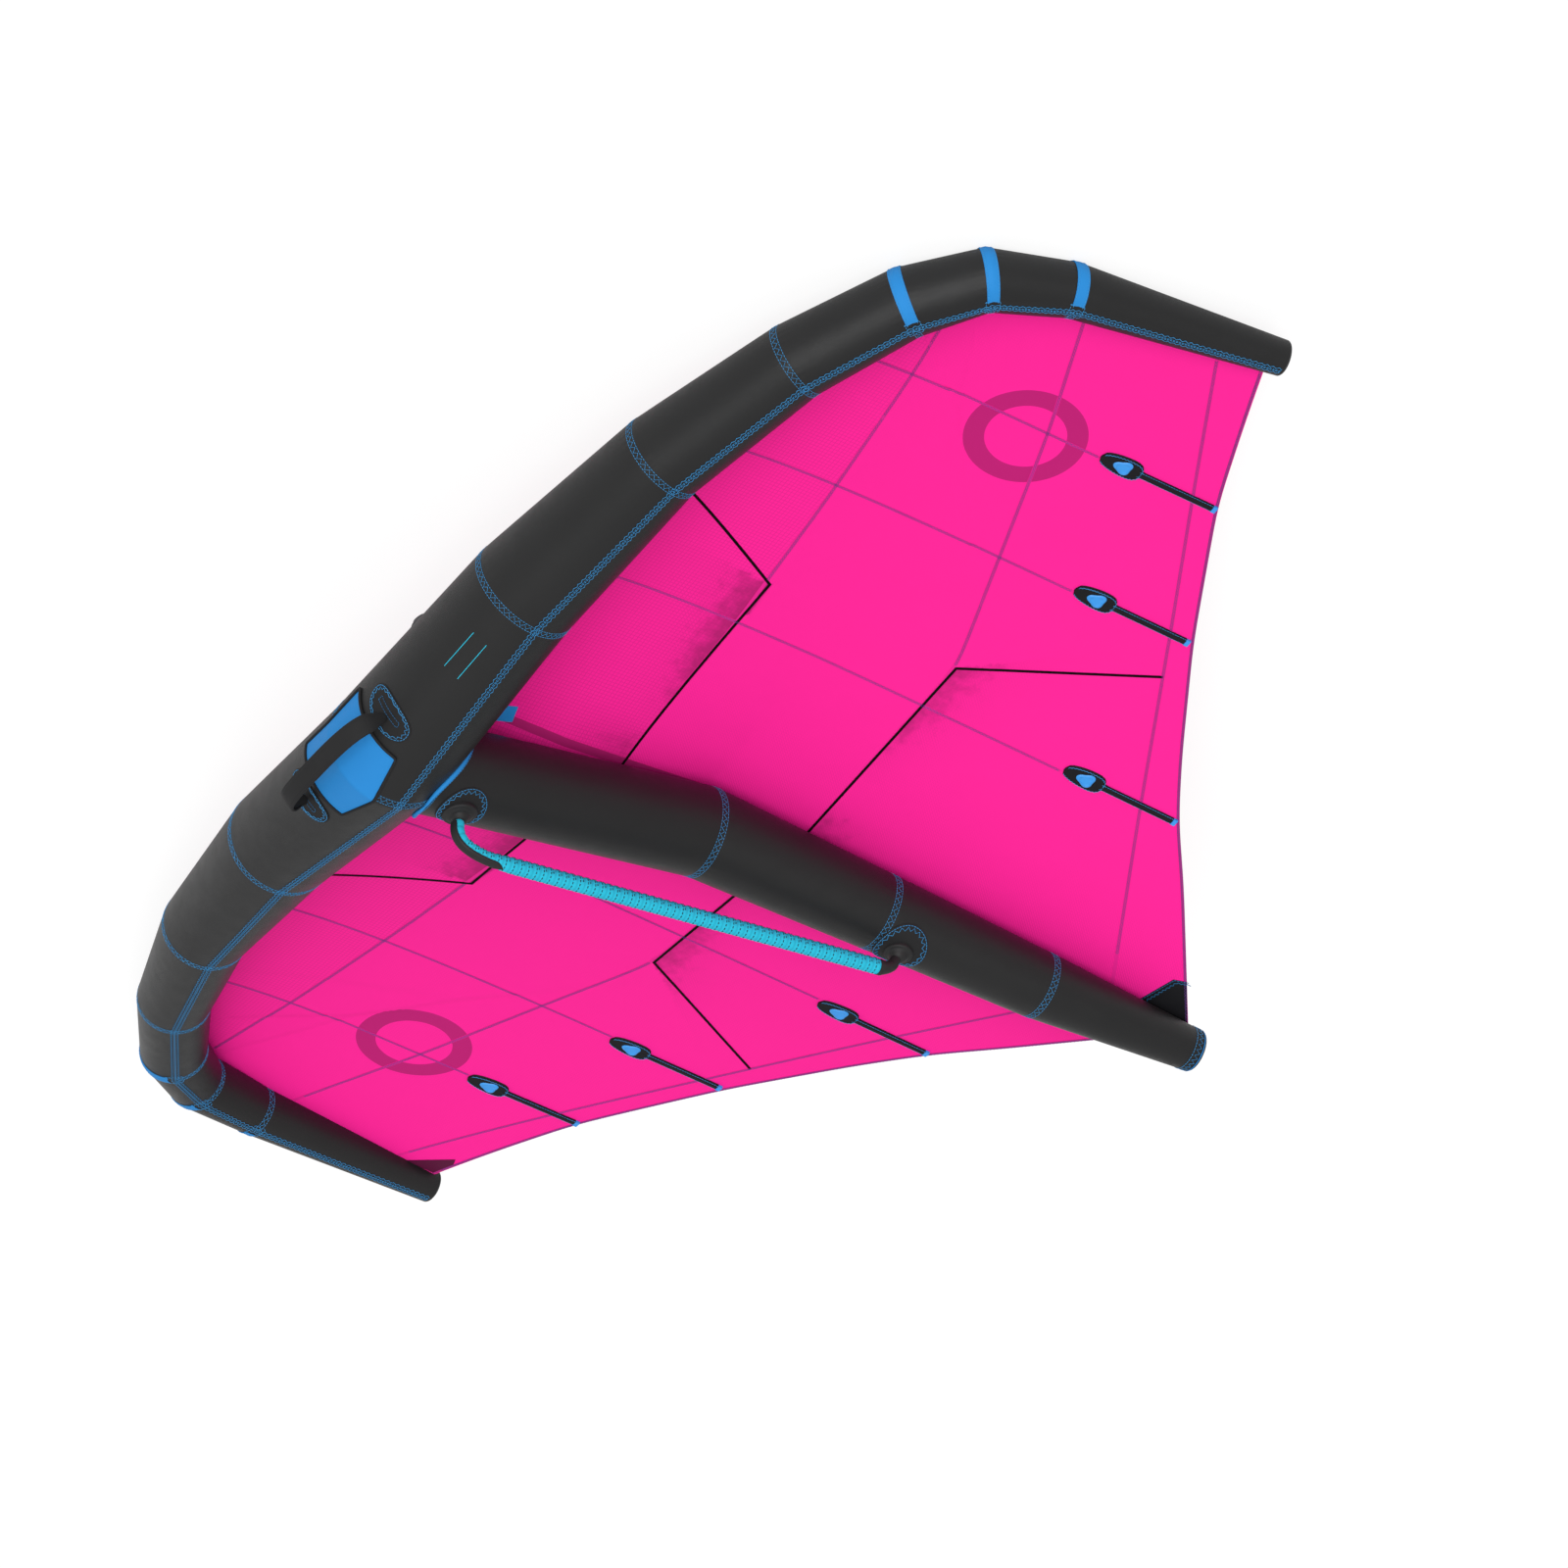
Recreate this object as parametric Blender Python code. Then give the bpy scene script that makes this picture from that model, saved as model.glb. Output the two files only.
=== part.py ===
# Inflatable wing for wing foiling, parked upside down on its two outer leading edge tubes.
# It is drawn in the flight frame (+X to the wing's left tip, +Y to the tail, +Z up, metres)
# under one empty that turns it over and sets it down with its nose towards -Y.
import math

import bmesh
import bpy
import numpy as np
from mathutils import Matrix, Vector

# Fits between pieces
fit_gap = 0.0003
cut_overrun = 0.02
contact_flat = 0.0005
ground_cutter_depth = 0.1

# Leading edge tube
half_span = 1.545
tip_sweep = 0.989
tip_rise = 0.403
leading_radius = 0.126
sleeve_wall = 0.0012
bladder_wall = 0.0008
centre_seam_offset = 0.019
tube_sides = 32
ring_span_shares = (0, 0.2932, 0.5502, 0.7476, 0.879, 0.945, 0.9728, 1)
ring_sweep_shares = (0, 0.0263, 0.0789, 0.1759, 0.2872, 0.3974, 0.5581, 1)
ring_rise_shares = (0, 0.2481, 0.4318, 0.603, 0.7395, 0.8362, 0.9082, 1)
ring_radius_shares = (1, 0.881, 0.706, 0.595, 0.54, 0.476, 0.421, 0.278)

# Centre strut tube
strut_reach = 1.846
strut_height = 0.165
strut_radius = 0.091
strut_along_shares = (0, 0.3776, 0.5986, 0.8023, 1)
strut_height_shares = (-0.073, 0.93, 0.936, 0.93, 1)
strut_radius_shares = (1, 1, 0.868, 0.747, 0.473)
end_cap_depth = 0.012
end_cap_round = 0.005

# Canopy
canopy_chord = 1.832
canopy_thickness = 0.001
canopy_height = 0.2542
canopy_fall_share = 0.0077
canopy_curve_share = 0.0178
dihedral_share = 0.083
dihedral_gain_share = 0.0623
nose_drop_length = 0.19
strut_valley_width = 0.16
keel_joins_strut = 0.36
column_count = 18
row_step = 0.12
attach_station_shares = (0, 0.15, 0.55, 0.72, 0.86, 1)
attach_angle_shares = (0.1, 0.11, 0.2, 0.42, 0.66, 0.98)
side_angle = 90
attach_steps = 12
seam_end_stations = (4.45, 4.77, 6.15, 6.75, 6.965)
seam_one_reach = 1.42
seam_one_span_shares = (0, 0.3, 0.55, 0.8, 1)
seam_one_along_shares = (0.2724, 0.2713, 0.256, 0.2347, 0.2118)
seam_two_reach = 1.46
seam_two_span_shares = (0, 0.376, 0.572, 0.788, 1)
seam_two_along_shares = (0.5005, 0.5022, 0.4531, 0.399, 0.3357)
seam_three_reach = 1.496
seam_three_span_shares = (0, 0.286, 0.496, 0.58, 0.783, 1)
seam_three_along_shares = (0.8996, 0.7784, 0.6916, 0.6567, 0.571, 0.4809)
trailing_reach = 1.511
trailing_span_shares = (0, 0.212, 0.293, 0.39, 0.49, 0.556, 0.77, 0.905, 1)
trailing_along_shares = (1, 0.8745, 0.8226, 0.7724, 0.7249, 0.6932, 0.6037, 0.5611, 0.5322)

# Batten pockets and battens, placed as shares of the half span and of the canopy chord
batten_span_shares = (0.2864, 0.545, 0.7463)
batten_front_shares = (0.679, 0.5459, 0.4645)
batten_rear_shares = (0.8144, 0.6823, 0.6004)
pocket_width = 0.015
pocket_height = 0.005
pocket_patch_width = 0.036
pocket_patch_length = 0.068
pocket_patch_lead_share = 0.42
pocket_seat = 0.0006
batten_width = 0.0086
batten_height = 0.0022
batten_slide_clearance = 0.0004
batten_head_length = 0.009
batten_nose_room = 0.004
patch_outline_shares = ((0, 0.35), (0.08, 0.62), (0.22, 0.86), (0.42, 1), (0.66, 0.93), (0.86, 0.66), (1, 0))

# Window panel, its raised hem and the two anchor patches of the short handle
window_half_width = 0.097
window_top_angle = 87
window_corner_angle = 164
window_foot_angle = 172
window_foot_share = 0.06
window_thickness = 0.0015
hem_radius = 0.0035
hem_offset = 0.0045
anchor_span = 0.15
anchor_half_width = 0.032
anchor_angle = 132
anchor_half_angle = 29
patch_thickness = 0.0025
patch_end_share = 0.22
patch_round_shares = (0.06, 0.18)

# Short handle over the window
short_handle_half_span = 0.146
short_handle_height = 0.086
short_handle_width = 0.04
short_handle_thickness = 0.009
short_foot_radius = 0.013
foot_clearance = 0.0006
foot_turns = (80, 60, 35, 10)
short_handle_angle = 133
arch_steps = 14
arch_square_share = 0.62
arch_widening_share = 0.5
webbing_edge_share = 0.7

# Long handle under the strut, with places along and below the strut's plane
front_mount_along = 0.17
rear_mount_along = 1.157
mount_patch_radius = 0.0505
rear_patch_radius = 0.0567
dome_radius = 0.02
dome_flange_radius = 0.028
dome_flange_height = 0.004
dome_steps = 6
neck_radius = 0.0105
handle_radius = 0.0115
grip_radius = 0.0155
elbow_radius = 0.0125
elbow_collar = 0.006
cover_wall = 0.0025
handle_sides = 16
handle_drop = 0.145
handle_along_shares = (0.001, 0.007, 0.022, 0.046, 0.074, 0.11, 0.516, 0.954, 0.977, 0.988)
handle_drop_shares = (0.76, 0.86, 0.935, 0.972, 0.979, 0.955, 0.434, -0.128, -0.19, -0.26)
grip_start_point = 6
cover_end_point = 8
spine_width = 0.02
spine_thickness = 0.0035
spine_length_share = 0.105
spine_outer_share = 0.8

# Valve and its cap, and the hose between the two bladders
valve_span = 0.22
valve_angle = 40
valve_flange_radius = 0.024
valve_flange_height = 0.004
valve_stem_radius = 0.0125
valve_stem_depth = 0.014
valve_bore_radius = 0.007
cap_radius = 0.016
cap_height = 0.005
cap_edge_share = 0.3
cap_plug_depth = 0.005
cap_plug_radius = 0.0058
cap_lug_length = 0.004
hose_radius = 0.009
hose_wall = 0.002
hose_half_length = 0.028
piping_radius = 0.004
piping_seat = 0.001
bead_sides = 8
round_sides = 24
smooth_angle = 40

colours = {
    "tube_cloth": ((0.03, 0.03, 0.032), 0.55),
    "canopy_cloth": ((0.98, 0.02, 0.31), 0.6),
    "bright_cloth": ((0.03, 0.34, 0.85), 0.6),
    "grip_cloth": ((0.03, 0.48, 0.68), 0.75),
    "black_webbing": ((0.02, 0.02, 0.02), 0.7),
    "black_rubber": ((0.025, 0.025, 0.025), 0.5),
    "bladder_film": ((0.75, 0.78, 0.8), 0.3),
    "batten_plastic": ((0.04, 0.4, 0.85), 0.45),
    "valve_plastic": ((0.05, 0.05, 0.055), 0.4),
}


def clear_scene():
    for thing in list(bpy.data.objects):
        bpy.data.objects.remove(thing)


def material_of(name):
    found = bpy.data.materials.get(name)
    if found:
        return found
    made = bpy.data.materials.new(name)
    made.use_nodes = True
    shader = made.node_tree.nodes["Principled BSDF"]
    colour, roughness = colours[name]
    shader.inputs["Base Color"].default_value = (*colour, 1)
    shader.inputs["Roughness"].default_value = roughness
    shader.inputs["Metallic"].default_value = 0
    return made


def add_empty(name, parent, place=(0, 0, 0)):
    thing = bpy.data.objects.new(name, None)
    bpy.context.scene.collection.objects.link(thing)
    thing.parent = parent
    thing.location = Vector(place)
    return thing


def add_mesh(name, points, faces, material, parent, helper=False):
    mesh = bpy.data.meshes.new(name)
    mesh.from_pydata([tuple(p) for p in points], [], faces)
    build = bmesh.new()
    build.from_mesh(mesh)
    bmesh.ops.recalc_face_normals(build, faces=build.faces)
    if build.calc_volume(signed=True) < 0:
        bmesh.ops.reverse_faces(build, faces=build.faces)
    build.to_mesh(mesh)
    build.free()
    mesh.shade_smooth()
    mesh.set_sharp_from_angle(angle=math.radians(smooth_angle))
    thing = bpy.data.objects.new(name, mesh)
    bpy.context.scene.collection.objects.link(thing)
    thing.parent = parent
    if material:
        mesh.materials.append(material_of(material))
    if helper:
        thing.hide_render = True
        thing.display_type = "WIRE"
    return thing


def cut_from(thing, cutter):
    step = thing.modifiers.new(cutter.name, "BOOLEAN")
    step.operation = "DIFFERENCE"
    step.solver = "EXACT"
    step.object = cutter


def loop_faces(loops, sides, closed):
    faces = []
    count = len(loops)
    for i in range(count if closed else count - 1):
        a = i * sides
        b = ((i + 1) % count) * sides
        for j in range(sides):
            k = (j + 1) % sides
            faces.append((a + j, a + k, b + k, b + j))
    if not closed:
        faces.append(tuple(range(sides)))
        faces.append(tuple(range((count - 1) * sides, count * sides)))
    return faces


def add_loft(name, loops, material, parent, closed=False, helper=False):
    points = [p for loop in loops for p in loop]
    faces = loop_faces(loops, len(loops[0]), closed)
    return add_mesh(name, points, faces, material, parent, helper)


def interpolate(shares, places, share):
    return float(np.interp(share, shares, places))


# Path of a tube: its ring centres, its radii, and the upright that angle 0 points along.
# Angle 90 is towards the nose on the leading edge and towards +X on the strut.
class Tube:
    def __init__(self, centres, radii):
        self.centres = [np.array(c, float) for c in centres]
        self.radii = list(radii)
        steps = [b - a for a, b in zip(self.centres, self.centres[1:])]
        self.steps = [s / np.linalg.norm(s) for s in steps]
        self.known = {}

    def ring(self, index, lift):
        if (index, lift) not in self.known:
            self.known[index, lift] = self.drawn_ring(index, lift)
        return self.known[index, lift]

    def drawn_ring(self, index, lift):
        before = self.steps[max(index - 1, 0)]
        after = self.steps[min(index, len(self.steps) - 1)]
        mitre = before + after
        if index == 0 and abs(self.centres[0][0]) < fit_gap and abs(after[0]) > abs(after[1]):
            mitre = np.array([1, 0, 0])
        mitre = mitre / np.linalg.norm(mitre)
        side = np.cross(mitre, [0, 0, 1])
        side /= np.linalg.norm(side)
        upright = np.cross(side, mitre)
        loop = []
        for j in range(tube_sides):
            angle = math.tau * j / tube_sides
            way = upright * math.cos(angle) + side * math.sin(angle)
            across = way - after * (way @ after)
            reach = (self.radii[index] + lift) / np.linalg.norm(across)
            loop.append(self.centres[index] + way * reach)
        return np.array(loop)

    def between(self, station, lift):
        index = min(int(station), len(self.steps) - 1)
        share = station - index
        return self.ring(index, lift) * (1 - share) + self.ring(index + 1, lift) * share

    def surface(self, station, angle, lift):
        loop = self.between(station, lift)
        place = (angle % 360) / 360 * tube_sides
        first = int(place) % tube_sides
        share = place - int(place)
        return loop[first] * (1 - share) + loop[(first + 1) % tube_sides] * share

    def at(self, place, axis, angle, lift):
        # Point of the surface at an angle, at a given place along one axis of the flight frame.
        line = [self.surface(i, angle, lift) for i in range(len(self.centres))]
        station = float(np.interp(place, [p[axis] for p in line], range(len(line))))
        return self.surface(station, angle, lift)

    def centre(self, station):
        index = min(int(station), len(self.steps) - 1)
        share = station - index
        return self.centres[index] * (1 - share) + self.centres[index + 1] * share

    def length(self, index):
        return float(np.linalg.norm(self.centres[index + 1] - self.centres[index]))


leading = Tube(
    [
        (half_span * a, tip_sweep * b, tip_rise * c)
        for a, b, c in zip(ring_span_shares, ring_sweep_shares, ring_rise_shares)
    ],
    [leading_radius * s for s in ring_radius_shares],
)
strut = Tube(
    [(0, strut_reach * a, strut_height * b) for a, b in zip(strut_along_shares, strut_height_shares)],
    [strut_radius * s for s in strut_radius_shares],
)
last_ring = len(leading.centres) - 1


def mirrored(points, side):
    return np.array(points) * np.array([side, 1, 1])


def leading_station(span):
    return float(np.interp(span, [c[0] for c in leading.centres], range(last_ring + 1)))


def on_leading(span, angle, lift):
    side = -1 if span < 0 else 1
    return mirrored(leading.at(abs(span), 0, angle, lift), side)


def strut_station(along):
    return float(np.interp(along, [c[1] for c in strut.centres], range(len(strut.centres))))


def on_strut(along, angle, lift):
    return strut.at(along, 1, angle, lift)


def trimmed_ends(tube, first, last, lift):
    # Both end rings of a sleeve panel, each drawn back by half a fit gap along the tube.
    start = tube.between(first, lift)
    end = tube.between(last, lift)
    way = end - start
    way /= np.linalg.norm(way, axis=1)[:, None]
    return start + way * fit_gap / 2, end - way * fit_gap / 2


def add_sleeve(name, outer, inner, parent):
    loops = list(outer) + list(reversed(inner))
    return add_loft(name, loops, "tube_cloth", parent, closed=True)


def leading_solid(name, lift, parent):
    # Closed tube over both inner leading edge panels, used as a cutter.
    loops = [mirrored(leading.ring(1, lift), -1), leading.ring(0, lift), leading.ring(1, lift)]
    return add_loft(name, loops, None, parent, helper=True)


def build_leading_edge(parent):
    panels = []
    seam = leading_station(centre_seam_offset)
    step = np.array([fit_gap / 2, 0, 0])
    for side, word in ((1, "left"), (-1, "right")):
        for i in range(last_ring):
            outer = list(trimmed_ends(leading, i, i + 1, 0))
            inner = list(trimmed_ends(leading, i, i + 1, -sleeve_wall))
            if i == 0 and side == 1:
                # The left centre panel crosses the middle and ends at the centre seam.
                short = [mirrored(leading.between(seam, lift), -1) for lift in (0, -sleeve_wall)]
                outer = [short[0] + step, leading.ring(0, 0), outer[1]]
                inner = [short[1] + step, leading.ring(0, -sleeve_wall), inner[1]]
            elif i == 0:
                outer[0] = leading.between(seam, 0) + step
                inner[0] = leading.between(seam, -sleeve_wall) + step
            outer = [mirrored(loop, side) for loop in outer]
            inner = [mirrored(loop, side) for loop in inner]
            panels.append(add_sleeve(f"leading_edge_panel_{word}_{i + 1}", outer, inner, parent))
    return panels


def bladder_loops(lift, end_share):
    stations = [*range(last_ring), last_ring - end_share]
    left = [leading.between(s, lift) for s in stations]
    right = [mirrored(loop, -1) for loop in left[:0:-1]]
    return right + left


def build_bladders(parent, valve_cutter, hose_cutter):
    outer_lift = -sleeve_wall - fit_gap
    share = (end_cap_depth + fit_gap) / leading.length(last_ring - 1)
    body = add_loft("leading_edge_bladder", bladder_loops(outer_lift, share), "bladder_film", parent)
    loops = bladder_loops(outer_lift - bladder_wall, 2 * share)
    room = add_loft("leading_bladder_room", loops, None, parent, helper=True)
    for cutter in (room, valve_cutter, hose_cutter):
        cut_from(body, cutter)

    tail_share = (end_cap_depth + fit_gap) / strut.length(len(strut.steps) - 1)
    solids = []
    for name, lift, shares, helper in (
        ("strut_bladder", outer_lift, tail_share, False),
        ("strut_bladder_room", outer_lift - bladder_wall, 2 * tail_share, True),
    ):
        last = len(strut.steps) - shares
        loops = [strut.between(s, lift) for s in (*range(len(strut.steps)), last)]
        solids.append(add_loft(name, loops, None if helper else "bladder_film", parent, helper=helper))
    body, room = solids
    cut_from(body, leading_solid("strut_bladder_nose_cutter", sleeve_wall, parent))
    cut_from(room, leading_solid("strut_room_nose_cutter", sleeve_wall + 2 * bladder_wall, parent))
    for cutter in (room, hose_cutter):
        cut_from(body, cutter)


def build_strut(parent):
    for i in range(len(strut.steps)):
        outer = trimmed_ends(strut, i, i + 1, 0)
        inner = trimmed_ends(strut, i, i + 1, -sleeve_wall)
        panel = add_sleeve(f"strut_panel_{i + 1}", list(outer), list(inner), parent)
        if i == 0:
            cut_from(panel, leading_solid("strut_saddle_cutter", fit_gap, parent))


def build_end_caps(parent):
    caps = ((leading, 1, "tip_cap_left"), (leading, -1, "tip_cap_right"), (strut, 1, "strut_tail_cap"))
    for tube, side, name in caps:
        count = len(tube.steps)
        way = tube.steps[-1]
        seat = tube.ring(count, -sleeve_wall - fit_gap) - way * (end_cap_depth - fit_gap)
        rim = tube.ring(count, 0) + way * fit_gap
        inner = tube.ring(count, -sleeve_wall - fit_gap) + way * fit_gap
        step = rim + way * (end_cap_round / 2)
        face = tube.ring(count, -end_cap_round) + way * (end_cap_round + fit_gap)
        loops = [mirrored(loop, side) for loop in (seat, inner, rim, step, face)]
        add_loft(name, loops, "tube_cloth", parent)


def circle(centre, side, other, radius, sides):
    angles = (math.tau * j / sides for j in range(sides))
    return np.array([centre + (side * math.cos(a) + other * math.sin(a)) * radius for a in angles])


def build_hose(parent):
    # The hose lies on the strut's axis where that axis leaves the leading edge tube.
    way = strut.steps[0]
    middle = strut.centres[0] + way * math.sqrt(leading_radius**2 - strut.centres[0][2] ** 2)
    middle = middle - way * (strut.centres[0] @ way)
    side = np.array([1, 0, 0])
    other = np.cross(way, side)

    def ring(radius, along):
        return circle(middle + way * along, side, other, radius, round_sides)

    half = hose_half_length
    bore = hose_radius - hose_wall
    loops = [ring(hose_radius, -half), ring(hose_radius, half), ring(bore, half), ring(bore, -half)]
    add_loft("bladder_hose", loops, "black_rubber", parent, closed=True)
    hole = hose_radius + fit_gap
    loops = [ring(hole, -half - cut_overrun), ring(hole, half + cut_overrun)]
    return add_loft("hose_hole_cutter", loops, None, parent, helper=True)


def leading_distance(point):
    # Distance of a point from the surface of the inner leading edge panels.
    p = np.array([abs(point[0]), point[1], point[2]])
    along = float(np.clip((p - leading.centres[0]) @ leading.steps[0] / leading.length(0), 0, 1))
    centre = leading.centre(along)
    radius = leading.radii[0] * (1 - along) + leading.radii[1] * along
    return float(np.linalg.norm(p - centre)) - radius


def build_junction_piping(parent):
    lift = fit_gap + piping_radius
    centres = []
    for j in range(tube_sides):
        angle = 360 * j / tube_sides
        low, high = 0.0, 1.0
        for _ in range(40):
            middle = (low + high) / 2
            if leading_distance(strut.surface(middle, angle, lift)) < lift + piping_seat:
                low = middle
            else:
                high = middle
        centres.append(strut.surface(high, angle, lift))
    add_bead("junction_piping", centres, piping_radius, "bright_cloth", parent)


def add_bead(name, centres, radius, material, parent):
    # Round bead along a closed loop of centres.
    loops = []
    count = len(centres)
    middle = sum(centres) / count
    for i, centre in enumerate(centres):
        way = centres[(i + 1) % count] - centres[i - 1]
        way = way / np.linalg.norm(way)
        out = centre - middle
        out = out - way * (out @ way)
        out /= np.linalg.norm(out)
        loops.append(circle(centre, out, np.cross(way, out), radius, bead_sides))
    return add_loft(name, loops, material, parent, closed=True)


def keel_height(along):
    nose = leading.surface(0, -attach_angle(0), fit_gap)
    start = on_strut(keel_joins_strut, 0, fit_gap)[2]
    if along < keel_joins_strut:
        share = (along - nose[1]) / (keel_joins_strut - nose[1])
        return nose[2] * (1 - share) + start * share
    return on_strut(min(along, strut_reach), 0, fit_gap)[2]


def main_height(span, along):
    t = along / canopy_chord
    keel = canopy_height - canopy_chord * (canopy_fall_share * t + canopy_curve_share * t * t)
    return keel + span * (dihedral_share + dihedral_gain_share * t)


def valley_height(span, along):
    depth = main_height(0, along) - keel_height(along)
    return main_height(span, along) - depth * math.exp(-span / strut_valley_width)


def attach_angle(station):
    return side_angle * interpolate(attach_station_shares, attach_angle_shares, station / last_ring)


def attach_point(station):
    return leading.surface(station, -attach_angle(station), fit_gap)


attach_stations = np.linspace(0, last_ring, attach_steps * last_ring + 1)
attach_line = np.array([attach_point(s) for s in attach_stations])
attach_drops = np.array([valley_height(p[0], p[1]) - p[2] for p in attach_line])


def nearest_drop(span, along):
    # Distance to the attachment line in plan, and the drop of the canopy where it is nearest.
    starts, ways = attach_line[:-1, :2], np.diff(attach_line[:, :2], axis=0)
    shares = ((np.array([span, along]) - starts) * ways).sum(axis=1) / (ways**2).sum(axis=1)
    shares = np.clip(shares, 0, 1)
    gaps = np.hypot(*(starts + ways * shares[:, None] - [span, along]).T)
    i = int(gaps.argmin())
    return gaps[i], attach_drops[i] * (1 - shares[i]) + attach_drops[i + 1] * shares[i]


def canopy_surface(span, along):
    # Straight behind the nose near the strut, and from the nearest point of the tube further out.
    gap, drop = nearest_drop(span, along)
    behind = along - np.interp(span, attach_line[:, 0], attach_line[:, 1])
    inner = np.interp(span, attach_line[:, 0], attach_drops) * math.exp(-abs(behind) / nose_drop_length)
    outer = drop * math.exp(-gap / nose_drop_length)
    share = float(np.clip(2 * span / half_span, 0, 1))
    return valley_height(span, along) - inner * (1 - share) - outer * share


def seam_curve(span_shares, along_shares, reach):
    return lambda u: np.array([reach * u, canopy_chord * interpolate(span_shares, along_shares, u)])


front_reach = attach_point(seam_end_stations[0])[0]


def front_curve(u):
    used = attach_stations < seam_end_stations[0] + 1 / attach_steps
    station = float(np.interp(front_reach * u, attach_line[used, 0], attach_stations[used]))
    return attach_point(station)[:2]


canopy_seams = (
    front_curve,
    seam_curve(seam_one_span_shares, seam_one_along_shares, seam_one_reach),
    seam_curve(seam_two_span_shares, seam_two_along_shares, seam_two_reach),
    seam_curve(seam_three_span_shares, seam_three_along_shares, seam_three_reach),
    seam_curve(trailing_span_shares, trailing_along_shares, trailing_reach),
)
canopy_names = ("front", "middle", "rear", "trailing")


def panel_rows(first, last, start, end):
    # Row places that pass through the strut's rings on one side and the tube's rings on the other.
    rows = {0.0, 1.0}
    inner = [strut.ring(i, fit_gap)[0][1] for i in range(len(strut.centres))] + [keel_joins_strut]
    low, high = first(0)[1], last(0)[1]
    rows |= {(y - low) / (high - low) for y in inner if low < y < high}
    rows |= {(s - start) / (end - start) for s in range(last_ring) if start < s < end}
    filled = []
    ordered = sorted(rows)
    for a, b in zip(ordered, ordered[1:]):
        count = max(1, math.ceil((b - a) * (high - low) / row_step))
        filled += [a + (b - a) * i / count for i in range(count)]
    return [*filled, 1.0]


def panel_columns():
    # Even columns, with the nearest one moved onto each ring of the tube that the front edge passes.
    columns = [i / column_count for i in range(column_count + 1)]
    for ring in range(1, int(seam_end_stations[0]) + 1):
        share = attach_point(ring)[0] / front_reach
        columns[round(share * column_count)] = share
    return columns


def build_canopy(parent):
    columns = panel_columns()
    last_panel = len(canopy_names) - 1
    for index, word in enumerate(canopy_names):
        first, last = canopy_seams[index], canopy_seams[index + 1]
        start, end = seam_end_stations[index], seam_end_stations[index + 1]
        rows = panel_rows(first, last, start, end)
        points = []
        for v in rows:
            edge = attach_point(start + (end - start) * v)[:2]
            corner = first(1) * (1 - v) + last(1) * v
            for u in columns:
                place = first(u) * (1 - v) + last(u) * v + (edge - corner) * u**3
                if u == 0:
                    place = place + np.array([fit_gap / 2, 0])
                if v == 0 and index > 0:
                    place = place + np.array([0, fit_gap / 2])
                if v == 1 and index < last_panel:
                    place = place - np.array([0, fit_gap / 2])
                points.append((*place, canopy_surface(*place)))
        across = len(columns)
        faces = [
            (r * across + c, r * across + c + 1, (r + 1) * across + c + 1, (r + 1) * across + c)
            for r in range(len(rows) - 1)
            for c in range(across - 1)
        ]
        for side, name in ((1, "left"), (-1, "right")):
            add_sheet(f"canopy_{word}_{name}", mirrored(points, side), faces, across, parent)


def split_quads(points, quads):
    # Both faces of a sheet take the same diagonals, so that its thickness stays even.
    faces = []
    for a, b, c, d in quads:
        if np.linalg.norm(points[a] - points[c]) < np.linalg.norm(points[b] - points[d]):
            faces += [(a, b, c), (a, c, d)]
        else:
            faces += [(a, b, d), (b, c, d)]
    return faces


def add_sheet(name, points, quads, across, parent):
    faces = split_quads(points, quads)
    above = points + np.array([0, 0, canopy_thickness])
    count = len(points)
    rows = count // across
    border = list(range(across))
    border += [r * across + across - 1 for r in range(1, rows)]
    border += [(rows - 1) * across + c for c in range(across - 2, -1, -1)]
    border += [r * across for r in range(rows - 2, 0, -1)]
    walls = [(a, b, b + count, a + count) for a, b in zip(border, border[1:] + border[:1])]
    upper = [tuple(i + count for i in reversed(face)) for face in faces]
    add_mesh(name, [*points, *above], [*faces, *upper, *walls], "canopy_cloth", parent)


def batten_frame(index):
    # Front and rear point of a pocket's centre line, hung below the canopy.
    span = half_span * batten_span_shares[index]
    ends = []
    for share in (batten_front_shares[index], batten_rear_shares[index]):
        along = canopy_chord * share
        ends.append(np.array([span, along, canopy_surface(span, along)]))
    way = ends[1] - ends[0]
    length = float(np.linalg.norm(way))
    way /= length
    along = ends[0][1]
    slope = canopy_surface(span + pocket_width, along) - canopy_surface(span - pocket_width, along)
    side = np.array([2 * pocket_width, 0, slope])
    side = side - way * (side @ way)
    side /= np.linalg.norm(side)
    down = np.cross(way, side)
    down = down if down[2] < 0 else -down
    return ends[0], way, side, down, length


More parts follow.
